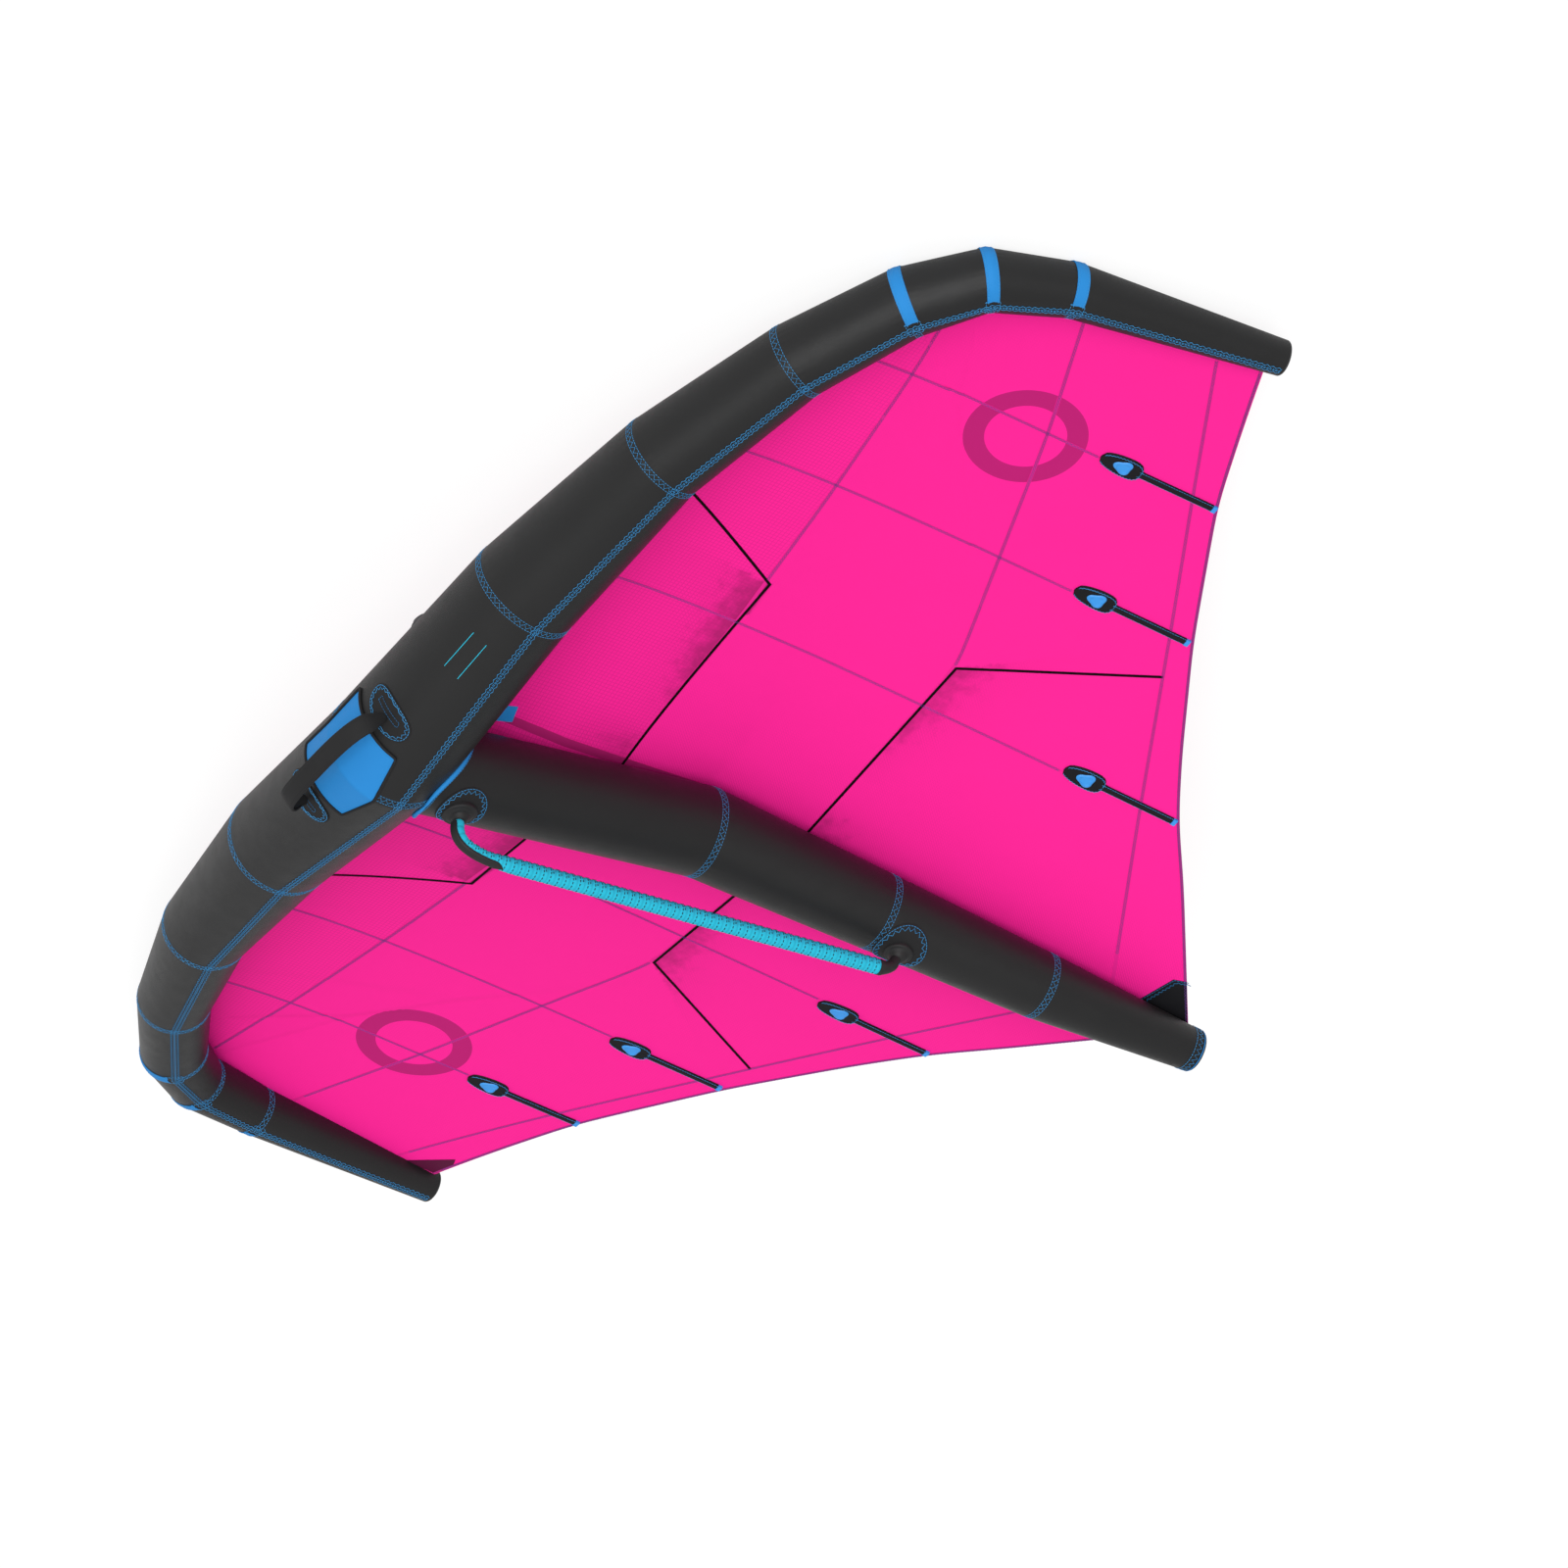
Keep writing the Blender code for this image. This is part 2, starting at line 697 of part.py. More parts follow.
def build_batten(parent, index, sign, word):
    front, way, side, down, length = batten_frame(index)
    top, bottom = pocket_seat, pocket_seat + pocket_height
    middle = (top + bottom) / 2

    def section(along, width, high, low):
        corners = ((-width, high), (width, high), (width, low), (-width, low))
        return mirrored([front + way * along + side * a / 2 + down * b for a, b in corners], sign)

    loops = []
    for along_share, width_share in patch_outline_shares:
        along = pocket_patch_length * (along_share - pocket_patch_lead_share)
        width = pocket_width + (pocket_patch_width - pocket_width) * width_share
        loops.append(section(along, width, top, bottom))
    loops.append(section(length, pocket_width, top, bottom))
    pocket = add_loft(f"batten_pocket_{word}_{index + 1}", loops, "black_webbing", parent)

    nose = pocket_patch_length * (1 - pocket_patch_lead_share)
    half = batten_height / 2
    reach = half + batten_slide_clearance
    width = batten_width + 2 * batten_slide_clearance
    channel = [section(a, width, middle - reach, middle + reach) for a in (nose, length + cut_overrun)]
    name = f"batten_channel_cutter_{word}_{index + 1}"
    cut_from(pocket, add_loft(name, channel, None, parent, helper=True))

    origin = mirrored(front + way * length + down * middle, sign)
    runner = add_empty(f"batten_runner_{word}_{index + 1}", parent, origin)
    stages = (
        (nose + batten_nose_room, batten_width, middle - half, middle + half),
        (length + fit_gap, batten_width, middle - half, middle + half),
        (length + fit_gap, pocket_width, top, bottom),
        (length + fit_gap + batten_head_length, pocket_width, top, bottom),
    )
    loops = [section(*stage) - origin for stage in stages]
    add_loft(f"batten_{word}_{index + 1}", loops, "batten_plastic", runner)


def strip_loops(rows, surface, thickness, lift):
    # Thin pad that follows a tube: each row is one angle and the places across it.
    loops = []
    for angle, places in rows:
        inner = [surface(p, angle, lift) for p in places]
        outer = [surface(p, angle, lift + thickness) for p in reversed(places)]
        loops.append(inner + outer)
    return loops


def oval_rows(centre, half_width, middle_angle, half_angle):
    ridge = 360 / tube_sides
    low, high = middle_angle - half_angle, middle_angle + half_angle
    angles = {low, high}
    angles |= {k * ridge / 2 for k in range(int(low / ridge * 2), int(high / ridge * 2) + 2)}
    angles |= {low + half_angle * s for s in patch_round_shares}
    angles |= {high - half_angle * s for s in patch_round_shares}
    rows = []
    for angle in sorted(a for a in angles if low <= a <= high):
        turn = (angle - middle_angle) / half_angle
        width = half_width * max(math.sqrt(max(1 - turn * turn, 0)), patch_end_share)
        rows.append((angle, (centre - width, centre + width)))
    return rows


def window_width(angle, grow=0.0):
    # Half width of the window at an angle, or of the line that runs outside it by a margin.
    turn = math.degrees(grow / leading_radius)
    angles = (window_top_angle - turn, window_corner_angle + turn / 2, window_foot_angle + turn)
    full = window_half_width + grow
    return float(np.interp(angle, angles, (full, full, window_half_width * window_foot_share)))


def window_angles(grow=0.0):
    ridge = 360 / tube_sides
    turn = math.degrees(grow / leading_radius)
    low, corner, high = window_top_angle - turn, window_corner_angle + turn / 2, window_foot_angle + turn
    ridges = {k * ridge for k in range(tube_sides) if low < k * ridge < high}
    return sorted({low, corner, high} | ridges)


def build_window(parent):
    rows = [(a, (-window_width(a), 0, window_width(a))) for a in window_angles()]
    loops = strip_loops(rows, on_leading, window_thickness, fit_gap)
    add_loft("window_panel", loops, "bright_cloth", parent)
    lift = fit_gap + hem_radius
    angles = window_angles(hem_offset)
    path = [on_leading(window_width(a, hem_offset), a, lift) for a in angles[:-1]]
    path.append(on_leading(0, angles[-1], lift))
    path += [on_leading(-window_width(a, hem_offset), a, lift) for a in reversed(angles[:-1])]
    path.append(on_leading(0, angles[0], lift))
    add_bead("window_hem", path, hem_radius, "black_webbing", parent)
    for side, word in ((1, "left"), (-1, "right")):
        rows = oval_rows(anchor_span * side, anchor_half_width, anchor_angle, anchor_half_angle)
        loops = strip_loops(rows, on_leading, patch_thickness, fit_gap)
        add_loft(f"handle_anchor_patch_{word}", loops, "black_webbing", parent)


def short_handle_stations():
    # Span, height over the feet and half width, from one rounded foot over the arch to the other.
    half_foot = short_foot_radius
    height = short_handle_height - half_foot
    stations = []
    for degrees in foot_turns:
        turn = math.radians(degrees)
        stations.append((short_handle_half_span, -half_foot * math.sin(turn), half_foot * math.cos(turn)))
    for i in range(1, arch_steps + 1):
        turn = math.pi / 2 * i / arch_steps
        span = short_handle_half_span * math.cos(turn) ** arch_square_share
        rise = height * math.sin(turn) ** arch_square_share
        share = min(rise / (height * arch_widening_share), 1)
        stations.append((span, rise, half_foot + (short_handle_width / 2 - half_foot) * share))
    return stations + [(-s, r, w) for s, r, w in reversed(stations[:-1])]


def build_short_handle(parent):
    angle = math.radians(short_handle_angle)
    out = np.array([0, -math.sin(angle), math.cos(angle)])
    across = np.array([0, math.cos(angle), math.sin(angle)])
    span_way = np.array([1, 0, 0])
    inner_edge = short_handle_half_span - short_handle_thickness / 2
    seat = on_leading(inner_edge, short_handle_angle, 2 * fit_gap + patch_thickness)
    base = seat + out * (foot_clearance + short_foot_radius)
    base[0] = 0
    pivot = add_empty("short_handle_pivot", parent, base)
    edge = webbing_edge_share
    corners = ((1, edge), (edge, 1), (-edge, 1), (-1, edge), (-1, -edge), (-edge, -1), (edge, -1), (1, -edge))
    stations = short_handle_stations()
    loops = []
    for i, (span, rise, width) in enumerate(stations):
        before = np.array(stations[max(i - 1, 0)][:2])
        after = np.array(stations[min(i + 1, len(stations) - 1)][:2])
        way = (after - before) / np.linalg.norm(after - before)
        face = (span_way * way[1] - out * way[0]) * short_handle_thickness / 2
        centre = span_way * span + out * rise
        loops.append([centre + across * width * a + face * b for a, b in corners])
    add_loft("short_handle", loops, "black_webbing", pivot)


def mount_point(along):
    return on_strut(along, 180, 2 * fit_gap + patch_thickness)


def strut_normal(along):
    way = strut.steps[min(int(strut_station(along)), len(strut.steps) - 1)]
    normal = np.cross(way, [1, 0, 0])
    return normal if normal[2] < 0 else -normal


def build_mounts(parent):
    lift = 2 * fit_gap + patch_thickness
    rings = [strut.ring(i, lift) for i in range(len(strut.centres))]
    seat = add_loft("dome_seat_cutter", rings, None, parent, helper=True)
    side = np.array([1, 0, 0])
    for along, radius, word in (
        (front_mount_along, mount_patch_radius, "front"),
        (rear_mount_along, rear_patch_radius, "rear"),
    ):
        tube_radius = float(np.linalg.norm(on_strut(along, 180, 0) - strut.centre(strut_station(along))))
        rows = oval_rows(along, radius, 180, math.degrees(radius / tube_radius))
        loops = strip_loops(rows, on_strut, patch_thickness, fit_gap)
        add_loft(f"{word}_mount_patch", loops, "black_webbing", parent)
        point = mount_point(along)
        normal = strut_normal(along)
        other = np.cross(normal, side)
        profile = [(dome_flange_radius, -dome_radius / 2), (dome_flange_radius, dome_flange_height / 2)]
        profile.append((dome_flange_radius - dome_flange_height / 2, dome_flange_height))
        low = math.asin(dome_flange_height / dome_radius)
        for i in range(dome_steps):
            turn = low + (math.pi / 2 - low) * i / dome_steps
            profile.append((dome_radius * math.cos(turn), dome_radius * math.sin(turn)))
        loops = [circle(point + normal * h, side, other, r, round_sides) for r, h in profile]
        cut_from(add_loft(f"{word}_mount_dome", loops, "black_rubber", parent), seat)


def handle_line():
    # Centre line of the long handle in the strut's plane, from its front mount to its rear one.
    front, rear = mount_point(front_mount_along), mount_point(rear_mount_along)
    reach = rear_mount_along - front_mount_along
    points = []
    for a, d in zip(handle_along_shares, handle_drop_shares):
        points.append(np.array([0, front_mount_along + reach * a, -handle_drop * d]))
    way = points[0] - front
    points.insert(0, front + way / np.linalg.norm(way) * (dome_radius + fit_gap))
    way = points[-1] - rear
    points.append(rear + way / np.linalg.norm(way) * (dome_radius + fit_gap))
    return points


def path_way(points, i):
    # Direction of a path at one of its points: the mean of the steps on both sides.
    steps = [points[b] - points[a] for a, b in ((i - 1, i), (i, i + 1)) if a >= 0 and b < len(points)]
    way = sum(s / np.linalg.norm(s) for s in steps)
    return way / np.linalg.norm(way)


def tube_along(points, radii):
    side = np.array([1, 0, 0])
    loops = []
    for i, point in enumerate(points):
        loops.append(circle(point, side, np.cross(path_way(points, i), side), radii[i], handle_sides))
    return np.array(loops)


def build_long_handle(parent):
    front = mount_point(front_mount_along)
    pivot = add_empty("long_handle_pivot", parent, front)
    line = handle_line()
    body = line[: cover_end_point + 1]
    radii = [neck_radius] + [handle_radius] * (grip_start_point - 1)
    radii += [grip_radius] * (len(body) - grip_start_point)
    outer = tube_along(body, radii) - front
    inner = tube_along(body, [r - cover_wall for r in radii]) - front
    core = tube_along(body, [r - cover_wall - fit_gap for r in radii]) - front
    add_loft("long_handle_cover", [*outer, *inner[::-1]], "grip_cloth", pivot, closed=True)
    add_loft("long_handle_core", core, "black_webbing", pivot)
    end = line[cover_end_point]
    way = end - line[cover_end_point - 1]
    way /= np.linalg.norm(way)
    elbow = [end + way * fit_gap, end + way * elbow_collar, *line[cover_end_point + 1 :]]
    radii = [grip_radius, grip_radius]
    radii += [elbow_radius + (neck_radius - elbow_radius) * s for s in np.linspace(0, 1, len(elbow) - 2)]
    add_loft("rear_elbow", tube_along(elbow, radii) - front, "black_rubber", pivot)
    build_spine(pivot, line, front)


def build_spine(pivot, line, front):
    # Strap on the outer side of the handle's first curve.
    reach = spine_length_share * (rear_mount_along - front_mount_along)
    used = [p for p in line[1:] if p[1] < front_mount_along + reach]
    half = np.array([spine_width / 2, 0, 0])
    edge = half * spine_outer_share
    loops = []
    for i, point in enumerate(used):
        out = np.cross(path_way(used, i), [1, 0, 0])
        near = point + out * (handle_radius + fit_gap) - front
        far = near + out * spine_thickness
        loops.append([near - half, near + half, far + edge, far - edge])
    add_loft("front_spine_strap", loops, "black_webbing", pivot)


def valve_frame():
    ridge = 360 / tube_sides
    top = on_leading(valve_span, valve_angle, 0)
    way = on_leading(valve_span + valve_flange_radius, valve_angle, 0) - top
    way /= np.linalg.norm(way)
    before, after = (on_leading(valve_span, valve_angle + a, 0) for a in (-ridge, ridge))
    out = np.cross(after - before, way)
    out /= np.linalg.norm(out)
    if out[2] < 0:
        out = -out
    return top, out, way, np.cross(out, way)


def turned(profile, base, out, side, other):
    return [circle(base + out * height, side, other, radius, round_sides) for radius, height in profile]


def build_valve(parent, panel):
    top, out, side, other = valve_frame()
    low = 2 * fit_gap
    high = low + valve_flange_height
    profile = [
        (valve_stem_radius, -valve_stem_depth),
        (valve_stem_radius, low),
        (valve_flange_radius, low),
        (valve_flange_radius, low + valve_flange_height / 2),
        (valve_flange_radius - valve_flange_height / 2, high),
        (valve_bore_radius, high),
        (valve_bore_radius, -valve_stem_depth),
    ]
    loops = turned(profile, top, out, side, other)
    add_loft("inflation_valve", loops, "valve_plastic", parent, closed=True)
    hole = valve_stem_radius + fit_gap
    loops = turned([(hole, -valve_stem_depth - cut_overrun / 2), (hole, cut_overrun)], top, out, side, other)
    cutter = add_loft("valve_hole_cutter", loops, None, parent, helper=True)
    cut_from(panel, cutter)

    base = top + out * (high + fit_gap)
    hinge = base - side * (cap_radius + cap_lug_length) + out * cap_height / 2
    pivot = add_empty("valve_cap_pivot", parent, hinge)
    edge = cap_height * cap_edge_share
    profile = [
        (cap_plug_radius, -cap_plug_depth),
        (cap_plug_radius, 0),
        (cap_radius, 0),
        (cap_radius, cap_height - edge),
        (cap_radius - edge, cap_height),
    ]
    loops = [loop - hinge for loop in turned(profile, base, out, side, other)]
    add_loft("valve_cap", loops, "valve_plastic", pivot)
    return cutter


def ground_plane():
    # Plane through the outer tubes' contact at rings 5 and 6, as a pitch and a height along its normal.
    near, far = leading.ring(5, 0), leading.ring(6, 0)
    pitch = 0.0
    for _ in range(6):
        normal = np.array([0, -math.sin(pitch), math.cos(pitch)])
        a = near[int((near @ normal).argmax())]
        b = far[int((far @ normal).argmax())]
        pitch = math.atan2(b[2] - a[2], b[1] - a[1])
    normal = np.array([0, -math.sin(pitch), math.cos(pitch)])
    return pitch, float((near @ normal).max()) - contact_flat, normal


def cut_contact_flats(panels, parent):
    pitch, height, normal = ground_plane()
    along = np.array([0, math.cos(pitch), math.sin(pitch)])
    side = np.array([1, 0, 0])
    reach = 2 * half_span
    loops = []
    for lift in (height, height + ground_cutter_depth):
        corners = ((-reach, -reach), (reach, -reach), (reach, reach), (-reach, reach))
        loops.append([normal * lift + side * a + along * b for a, b in corners])
    ground = add_loft("ground_cutter", loops, None, parent, helper=True)
    for panel in panels:
        if panel.name[-1] in "567":
            cut_from(panel, ground)


def set_down(parent):
    # Turn the wing over, pitch it onto its contact line and centre its box over the origin.
    pitch, height, _ = ground_plane()
    turn = Matrix.Rotation(pitch, 4, "X") @ Matrix.Rotation(math.pi, 4, "Y")
    parent.matrix_world = turn
    bpy.context.view_layer.update()
    graph = bpy.context.evaluated_depsgraph_get()
    lows, highs = [], []
    for thing in bpy.data.objects:
        if thing.type != "MESH" or thing.hide_render:
            continue
        shape = thing.evaluated_get(graph)
        matrix = np.array(shape.matrix_world)
        points = np.array([v.co for v in shape.to_mesh().vertices]) @ matrix[:3, :3].T + matrix[:3, 3]
        lows.append(points.min(axis=0))
        highs.append(points.max(axis=0))
        shape.to_mesh_clear()
    low, high = np.min(lows, axis=0), np.max(highs, axis=0)
    middle = (low + high) / 2
    parent.matrix_world = Matrix.Translation((-middle[0], -middle[1], height)) @ turn
    bpy.context.view_layer.update()


def main():
    clear_scene()
    parking = add_empty("parking_frame", None)
    panels = build_leading_edge(parking)
    cut_contact_flats(panels, parking)
    valve_cutter = build_valve(parking, panels[0])
    hose_cutter = build_hose(parking)
    cut_from(panels[0], hose_cutter)
    build_bladders(parking, valve_cutter, hose_cutter)
    build_strut(parking)
    build_end_caps(parking)
    build_junction_piping(parking)
    build_canopy(parking)
    for index in range(len(batten_span_shares)):
        for sign, word in ((1, "left"), (-1, "right")):
            build_batten(parking, index, sign, word)
    build_window(parking)
    build_short_handle(parking)
    build_mounts(parking)
    build_long_handle(parking)
    set_down(parking)


main()
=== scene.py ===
# Inflatable wing for wing foiling, lying upside down on its two outer leading edge tubes.
# Every shape is drawn as the wing flies (X to its left tip, Y to the tail, Z up, metres)
# and park() turns it over onto the ground, where the loaded frame is.
import math
import bmesh
import bpy
import numpy as np
from mathutils import Matrix, Vector


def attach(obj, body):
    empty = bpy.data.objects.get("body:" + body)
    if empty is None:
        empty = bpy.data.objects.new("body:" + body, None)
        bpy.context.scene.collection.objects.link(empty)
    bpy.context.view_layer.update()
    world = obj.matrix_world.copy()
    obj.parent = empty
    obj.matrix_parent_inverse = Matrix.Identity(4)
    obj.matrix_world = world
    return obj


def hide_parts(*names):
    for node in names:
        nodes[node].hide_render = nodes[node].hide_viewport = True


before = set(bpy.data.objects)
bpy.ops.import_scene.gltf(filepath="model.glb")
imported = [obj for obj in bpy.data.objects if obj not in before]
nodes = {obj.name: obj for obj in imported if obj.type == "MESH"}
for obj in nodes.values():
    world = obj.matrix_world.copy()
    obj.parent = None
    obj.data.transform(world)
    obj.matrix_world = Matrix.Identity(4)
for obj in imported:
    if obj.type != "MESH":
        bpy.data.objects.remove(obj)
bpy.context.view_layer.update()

parking = {"pitch": 8.035048337300635, "back": -0.8422703742980957, "up": 0.33784088492393494, "ease": 0.002}
wing = {
    "halfSpan": 1.545, "tipSweep": 0.989, "tipRise": 0.403, "tubeRadius": 0.126,
    "spanShares": (0, 0.2932, 0.5502, 0.7476, 0.879, 0.945, 0.9728, 1),
    "sweepShares": (0, 0.0263, 0.0789, 0.1759, 0.2872, 0.3974, 0.5581, 1),
    "riseShares": (0, 0.2481, 0.4318, 0.603, 0.7395, 0.8362, 0.9082, 1),
    "radiusShares": (1, 0.881, 0.706, 0.595, 0.54, 0.476, 0.421, 0.278),
    "centreSeam": 0.009, "closingSeam": (197, 189, 192, 187, 186, 190, 181, 180),
}
spine = {
    "reach": 1.846, "height": 0.165, "radius": 0.091,
    "alongShares": (0, 0.3776, 0.5986, 0.8023, 1), "heightShares": (-0.073, 0.93, 0.936, 0.93, 1),
    "radiusShares": (1, 1, 0.868, 0.747, 0.473),
}
cloth = {
    "chord": 1.832, "height": 0.2542, "fall": 0.0077, "curve": 0.0178, "dihedral": 0.083,
    "dihedralGain": 0.0623, "noseDrop": 0.19, "valley": 0.16, "joinsStrut": 0.36, "thickness": 0.0006,
    "attachStations": (0, 0.15, 0.55, 0.72, 0.86, 1), "attachAngles": (0.1, 0.11, 0.2, 0.42, 0.66, 0.98),
    "ends": (4.45, 4.77, 6.15, 6.75, 6.965), "grid": 0.009, "intoTube": 0.0035,
}
fit = 0.0003  # gap between two pieces that touch


def park(points):
    turn = math.radians(parking["pitch"])
    c, s = math.cos(turn), math.sin(turn)
    x, y, z = np.moveaxis(np.asarray(points, float), -1, 0)
    high = s * y - c * z + parking["up"]
    ease = parking["ease"]  # lowest points settle onto the floor within this height
    high = np.where(high < ease, ease * np.exp((np.minimum(high, ease) - ease) / ease), high)
    return np.stack([-x, c * y + s * z + parking["back"], high], -1)


def unit(v):
    v = np.asarray(v, float)
    return v / np.linalg.norm(v, axis=-1, keepdims=True)


def runOf(line):
    # Distance along a line at each of its points.
    return np.concatenate([[0], np.cumsum(np.linalg.norm(np.diff(line, axis=0), axis=1))])


def pointsAt(line, want):
    # Points of a line at the wanted distances along it.
    run = runOf(line)
    return np.stack([np.interp(want, run, column) for column in np.asarray(line, float).T], -1)


def uvGrid(rows, columns):
    return np.stack(np.broadcast_arrays(rows[:, None], columns[None]), -1)


def turnSteps(count, whole=math.tau):
    return whole * np.arange(count) / count


def powered(values, power):
    # Sine or cosine pushed towards a square outline.
    return np.sign(values) * np.abs(values) ** power


def flip(points, side):
    return np.asarray(points) * [side, 1, 1]


# Materials
def addNode(tree, kind, values=None, **settings):
    made = tree.nodes.new(kind)
    for key, value in settings.items():
        setattr(made, key, value)
    for key, value in (values or {}).items():
        if isinstance(value, bpy.types.NodeSocket):
            tree.links.new(value, made.inputs[key])
        else:
            made.inputs[key].default_value = value
    return made


def math2(tree, what, a, b=0.0, c=0.0, clamp=False):
    return addNode(tree, "ShaderNodeMath", {0: a, 1: b, 2: c}, operation=what, use_clamp=clamp).outputs[0]


def mixColour(tree, share, *colours):
    a, b = (c if isinstance(c, bpy.types.NodeSocket) else (*c, 1) for c in colours)
    return addNode(tree, "ShaderNodeMix", {0: share, 6: a, 7: b}, data_type="RGBA").outputs[2]


def startFinish(name, roughness, specular):
    made = bpy.data.materials.new(name)
    made.use_nodes = True
    shader = made.node_tree.nodes["Principled BSDF"]
    shader.inputs["Roughness"].default_value = roughness
    shader.inputs["Specular IOR Level"].default_value = specular
    return made, made.node_tree, shader


def planOf(tree):
    # The piece's own UV map, in metres.
    return addNode(tree, "ShaderNodeUVMap", uv_map="weave").outputs[0]


def weaveHeight(tree, plan, pitch):
    # Over and under threads of a plain weave.
    scale = addNode(tree, "ShaderNodeVectorMath", {0: plan, 3: math.tau / pitch}, operation="SCALE")
    parts = addNode(tree, "ShaderNodeSeparateXYZ", {0: scale.outputs[0]}).outputs
    return math2(tree, "MULTIPLY", math2(tree, "SINE", parts[0]), math2(tree, "SINE", parts[1]))


def addBump(tree, shader, *layers):
    # Each layer is a height socket with its strength and its depth in metres.
    last = None
    for height, strength, depth in layers:
        bump = addNode(tree, "ShaderNodeBump", {"Height": height, "Strength": strength, "Distance": depth})
        if last:
            tree.links.new(last, bump.inputs["Normal"])
        last = bump.outputs[0]
    tree.links.new(last, shader.inputs["Normal"])


def noiseOf(tree, scale, detail=3.0, roughness=0.5, place=None):
    values = {"Scale": scale, "Detail": detail, "Roughness": roughness}
    values["Vector"] = place or addNode(tree, "ShaderNodeTexCoord").outputs["Object"]
    return addNode(tree, "ShaderNodeTexNoise", values).outputs["Fac"]


def layTone(tree, shader, tone, colours, roughness, below, above, scale):
    # Two close tones mixed by one noise, and a roughness swayed by another.
    tree.links.new(mixColour(tree, tone, *colours), shader.inputs["Base Color"])
    rough = {0: noiseOf(tree, scale), 3: roughness - below, 4: roughness + above}
    tree.links.new(addNode(tree, "ShaderNodeMapRange", rough).outputs[0], shader.inputs["Roughness"])


def wovenFinish(name, colour, second, roughness, specular, pitch, crinkle=0.12):
    # Woven or coated cloth: two close tones, a weave and soft crinkles.
    made, tree, shader = startFinish(name, roughness, specular)
    tone = math2(tree, "MULTIPLY", noiseOf(tree, 9.0, 4.0), 0.7, clamp=True)
    layTone(tree, shader, tone, (colour, second), roughness, 0.06, 0.08, 30.0)
    weave = weaveHeight(tree, planOf(tree), pitch)
    addBump(tree, shader, (noiseOf(tree, 22.0, 4.0), crinkle, 0.004), (weave, 0.25, 0.0002))
    return made


def mouldedFinish(name, colour, second, roughness, grain, depth=0.0003, specular=0.5):
    # Moulded rubber or plastic: fine grain, slight tone change and scuffs.
    made, tree, shader = startFinish(name, roughness, specular)
    layTone(tree, shader, noiseOf(tree, 40.0, 5.0), (colour, second), roughness, 0.08, 0.1, 90.0)
    addBump(tree, shader, (noiseOf(tree, grain, 2.0), 0.3, depth))
    return made


canopyPaint = {
    "pink": (0.955, 0.0172, 0.303), "shade": (0.36, 0.011, 0.125), "thread": (0.6, 0.012, 0.2), "share": 0.2,
    "roughness": 0.7, "specular": 0.08, "ribs": 0.0075, "weave": 0.0011,
    "ringPlace": (1.12, 0.70, 0), "ringOuter": 0.118, "ringInner": 0.078, "ringShare": 0.8,
}


def canopyFinish(name, pitch, lineTone, hatch, ring=False):
    # Ripstop: a raised thread every pitch metres over a fine weave, and soft printed shading.
    facts = canopyPaint
    made, tree, shader = startFinish(name, facts["roughness"], facts["specular"])
    plan = planOf(tree)
    across, along = addNode(tree, "ShaderNodeSeparateXYZ", {0: plan}).outputs[:2]
    waves = [math2(tree, "PINGPONG", math2(tree, "MULTIPLY", axis, 1 / pitch), 0.5) for axis in (across, along)]
    grid = math2(tree, "MAXIMUM", *(math2(tree, "LESS_THAN", wave, facts["share"] / 2) for wave in waves))
    slant = math2(tree, "ADD", across, along)
    weft = math2(tree, "SINE", math2(tree, "MULTIPLY", slant, math.tau / hatch))
    weft = math2(tree, "MULTIPLY_ADD", weft, 0.5, 0.5)
    near = math2(tree, "POWER", math.e, math2(tree, "MULTIPLY", math2(tree, "ABSOLUTE", across), -7.0))
    weft = math2(tree, "MULTIPLY", weft, math2(tree, "MULTIPLY_ADD", near, 0.4, 0.1))
    tone = math2(tree, "ADD", math2(tree, "MULTIPLY", grid, lineTone, clamp=True), weft, clamp=True)
    base = mixColour(tree, tone, facts["pink"], facts["thread"])
    soft = addNode(tree, "ShaderNodeAttribute", attribute_name="printShade").outputs["Fac"]
    ragged = math2(tree, "MULTIPLY_ADD", noiseOf(tree, 34.0, 5.0, 0.65, plan), 1.1, soft)
    blot = addNode(tree, "ShaderNodeMapRange", {0: ragged, 1: 0.84, 2: 1.5, 3: 0.0, 4: 0.85}).outputs[0]
    ribs = math2(tree, "SINE", math2(tree, "MULTIPLY", slant, math.tau / facts["ribs"]))
    faint = math2(tree, "MULTIPLY", math2(tree, "MULTIPLY_ADD", ribs, 0.2, 0.3), soft, clamp=True)
    shade = math2(tree, "MAXIMUM", blot, faint)
    if ring:
        either = addNode(tree, "ShaderNodeVectorMath", {0: plan}, operation="ABSOLUTE").outputs[0]
        away = addNode(tree, "ShaderNodeVectorMath", {0: either, 1: facts["ringPlace"]}, operation="DISTANCE")
        outer = math2(tree, "LESS_THAN", away.outputs["Value"], facts["ringOuter"])
        inner = math2(tree, "GREATER_THAN", away.outputs["Value"], facts["ringInner"])
        band = math2(tree, "MULTIPLY", math2(tree, "MULTIPLY", outer, inner), facts["ringShare"])
        shade = math2(tree, "MAXIMUM", shade, band)
    tree.links.new(mixColour(tree, shade, base, facts["shade"]), shader.inputs["Base Color"])
    weave = weaveHeight(tree, plan, facts["weave"])
    addBump(tree, shader, (noiseOf(tree, 7.0, 3.0), 0.12, 0.02), (grid, 0.3, 0.0003), (weave, 0.15, 0.0002))
    return made


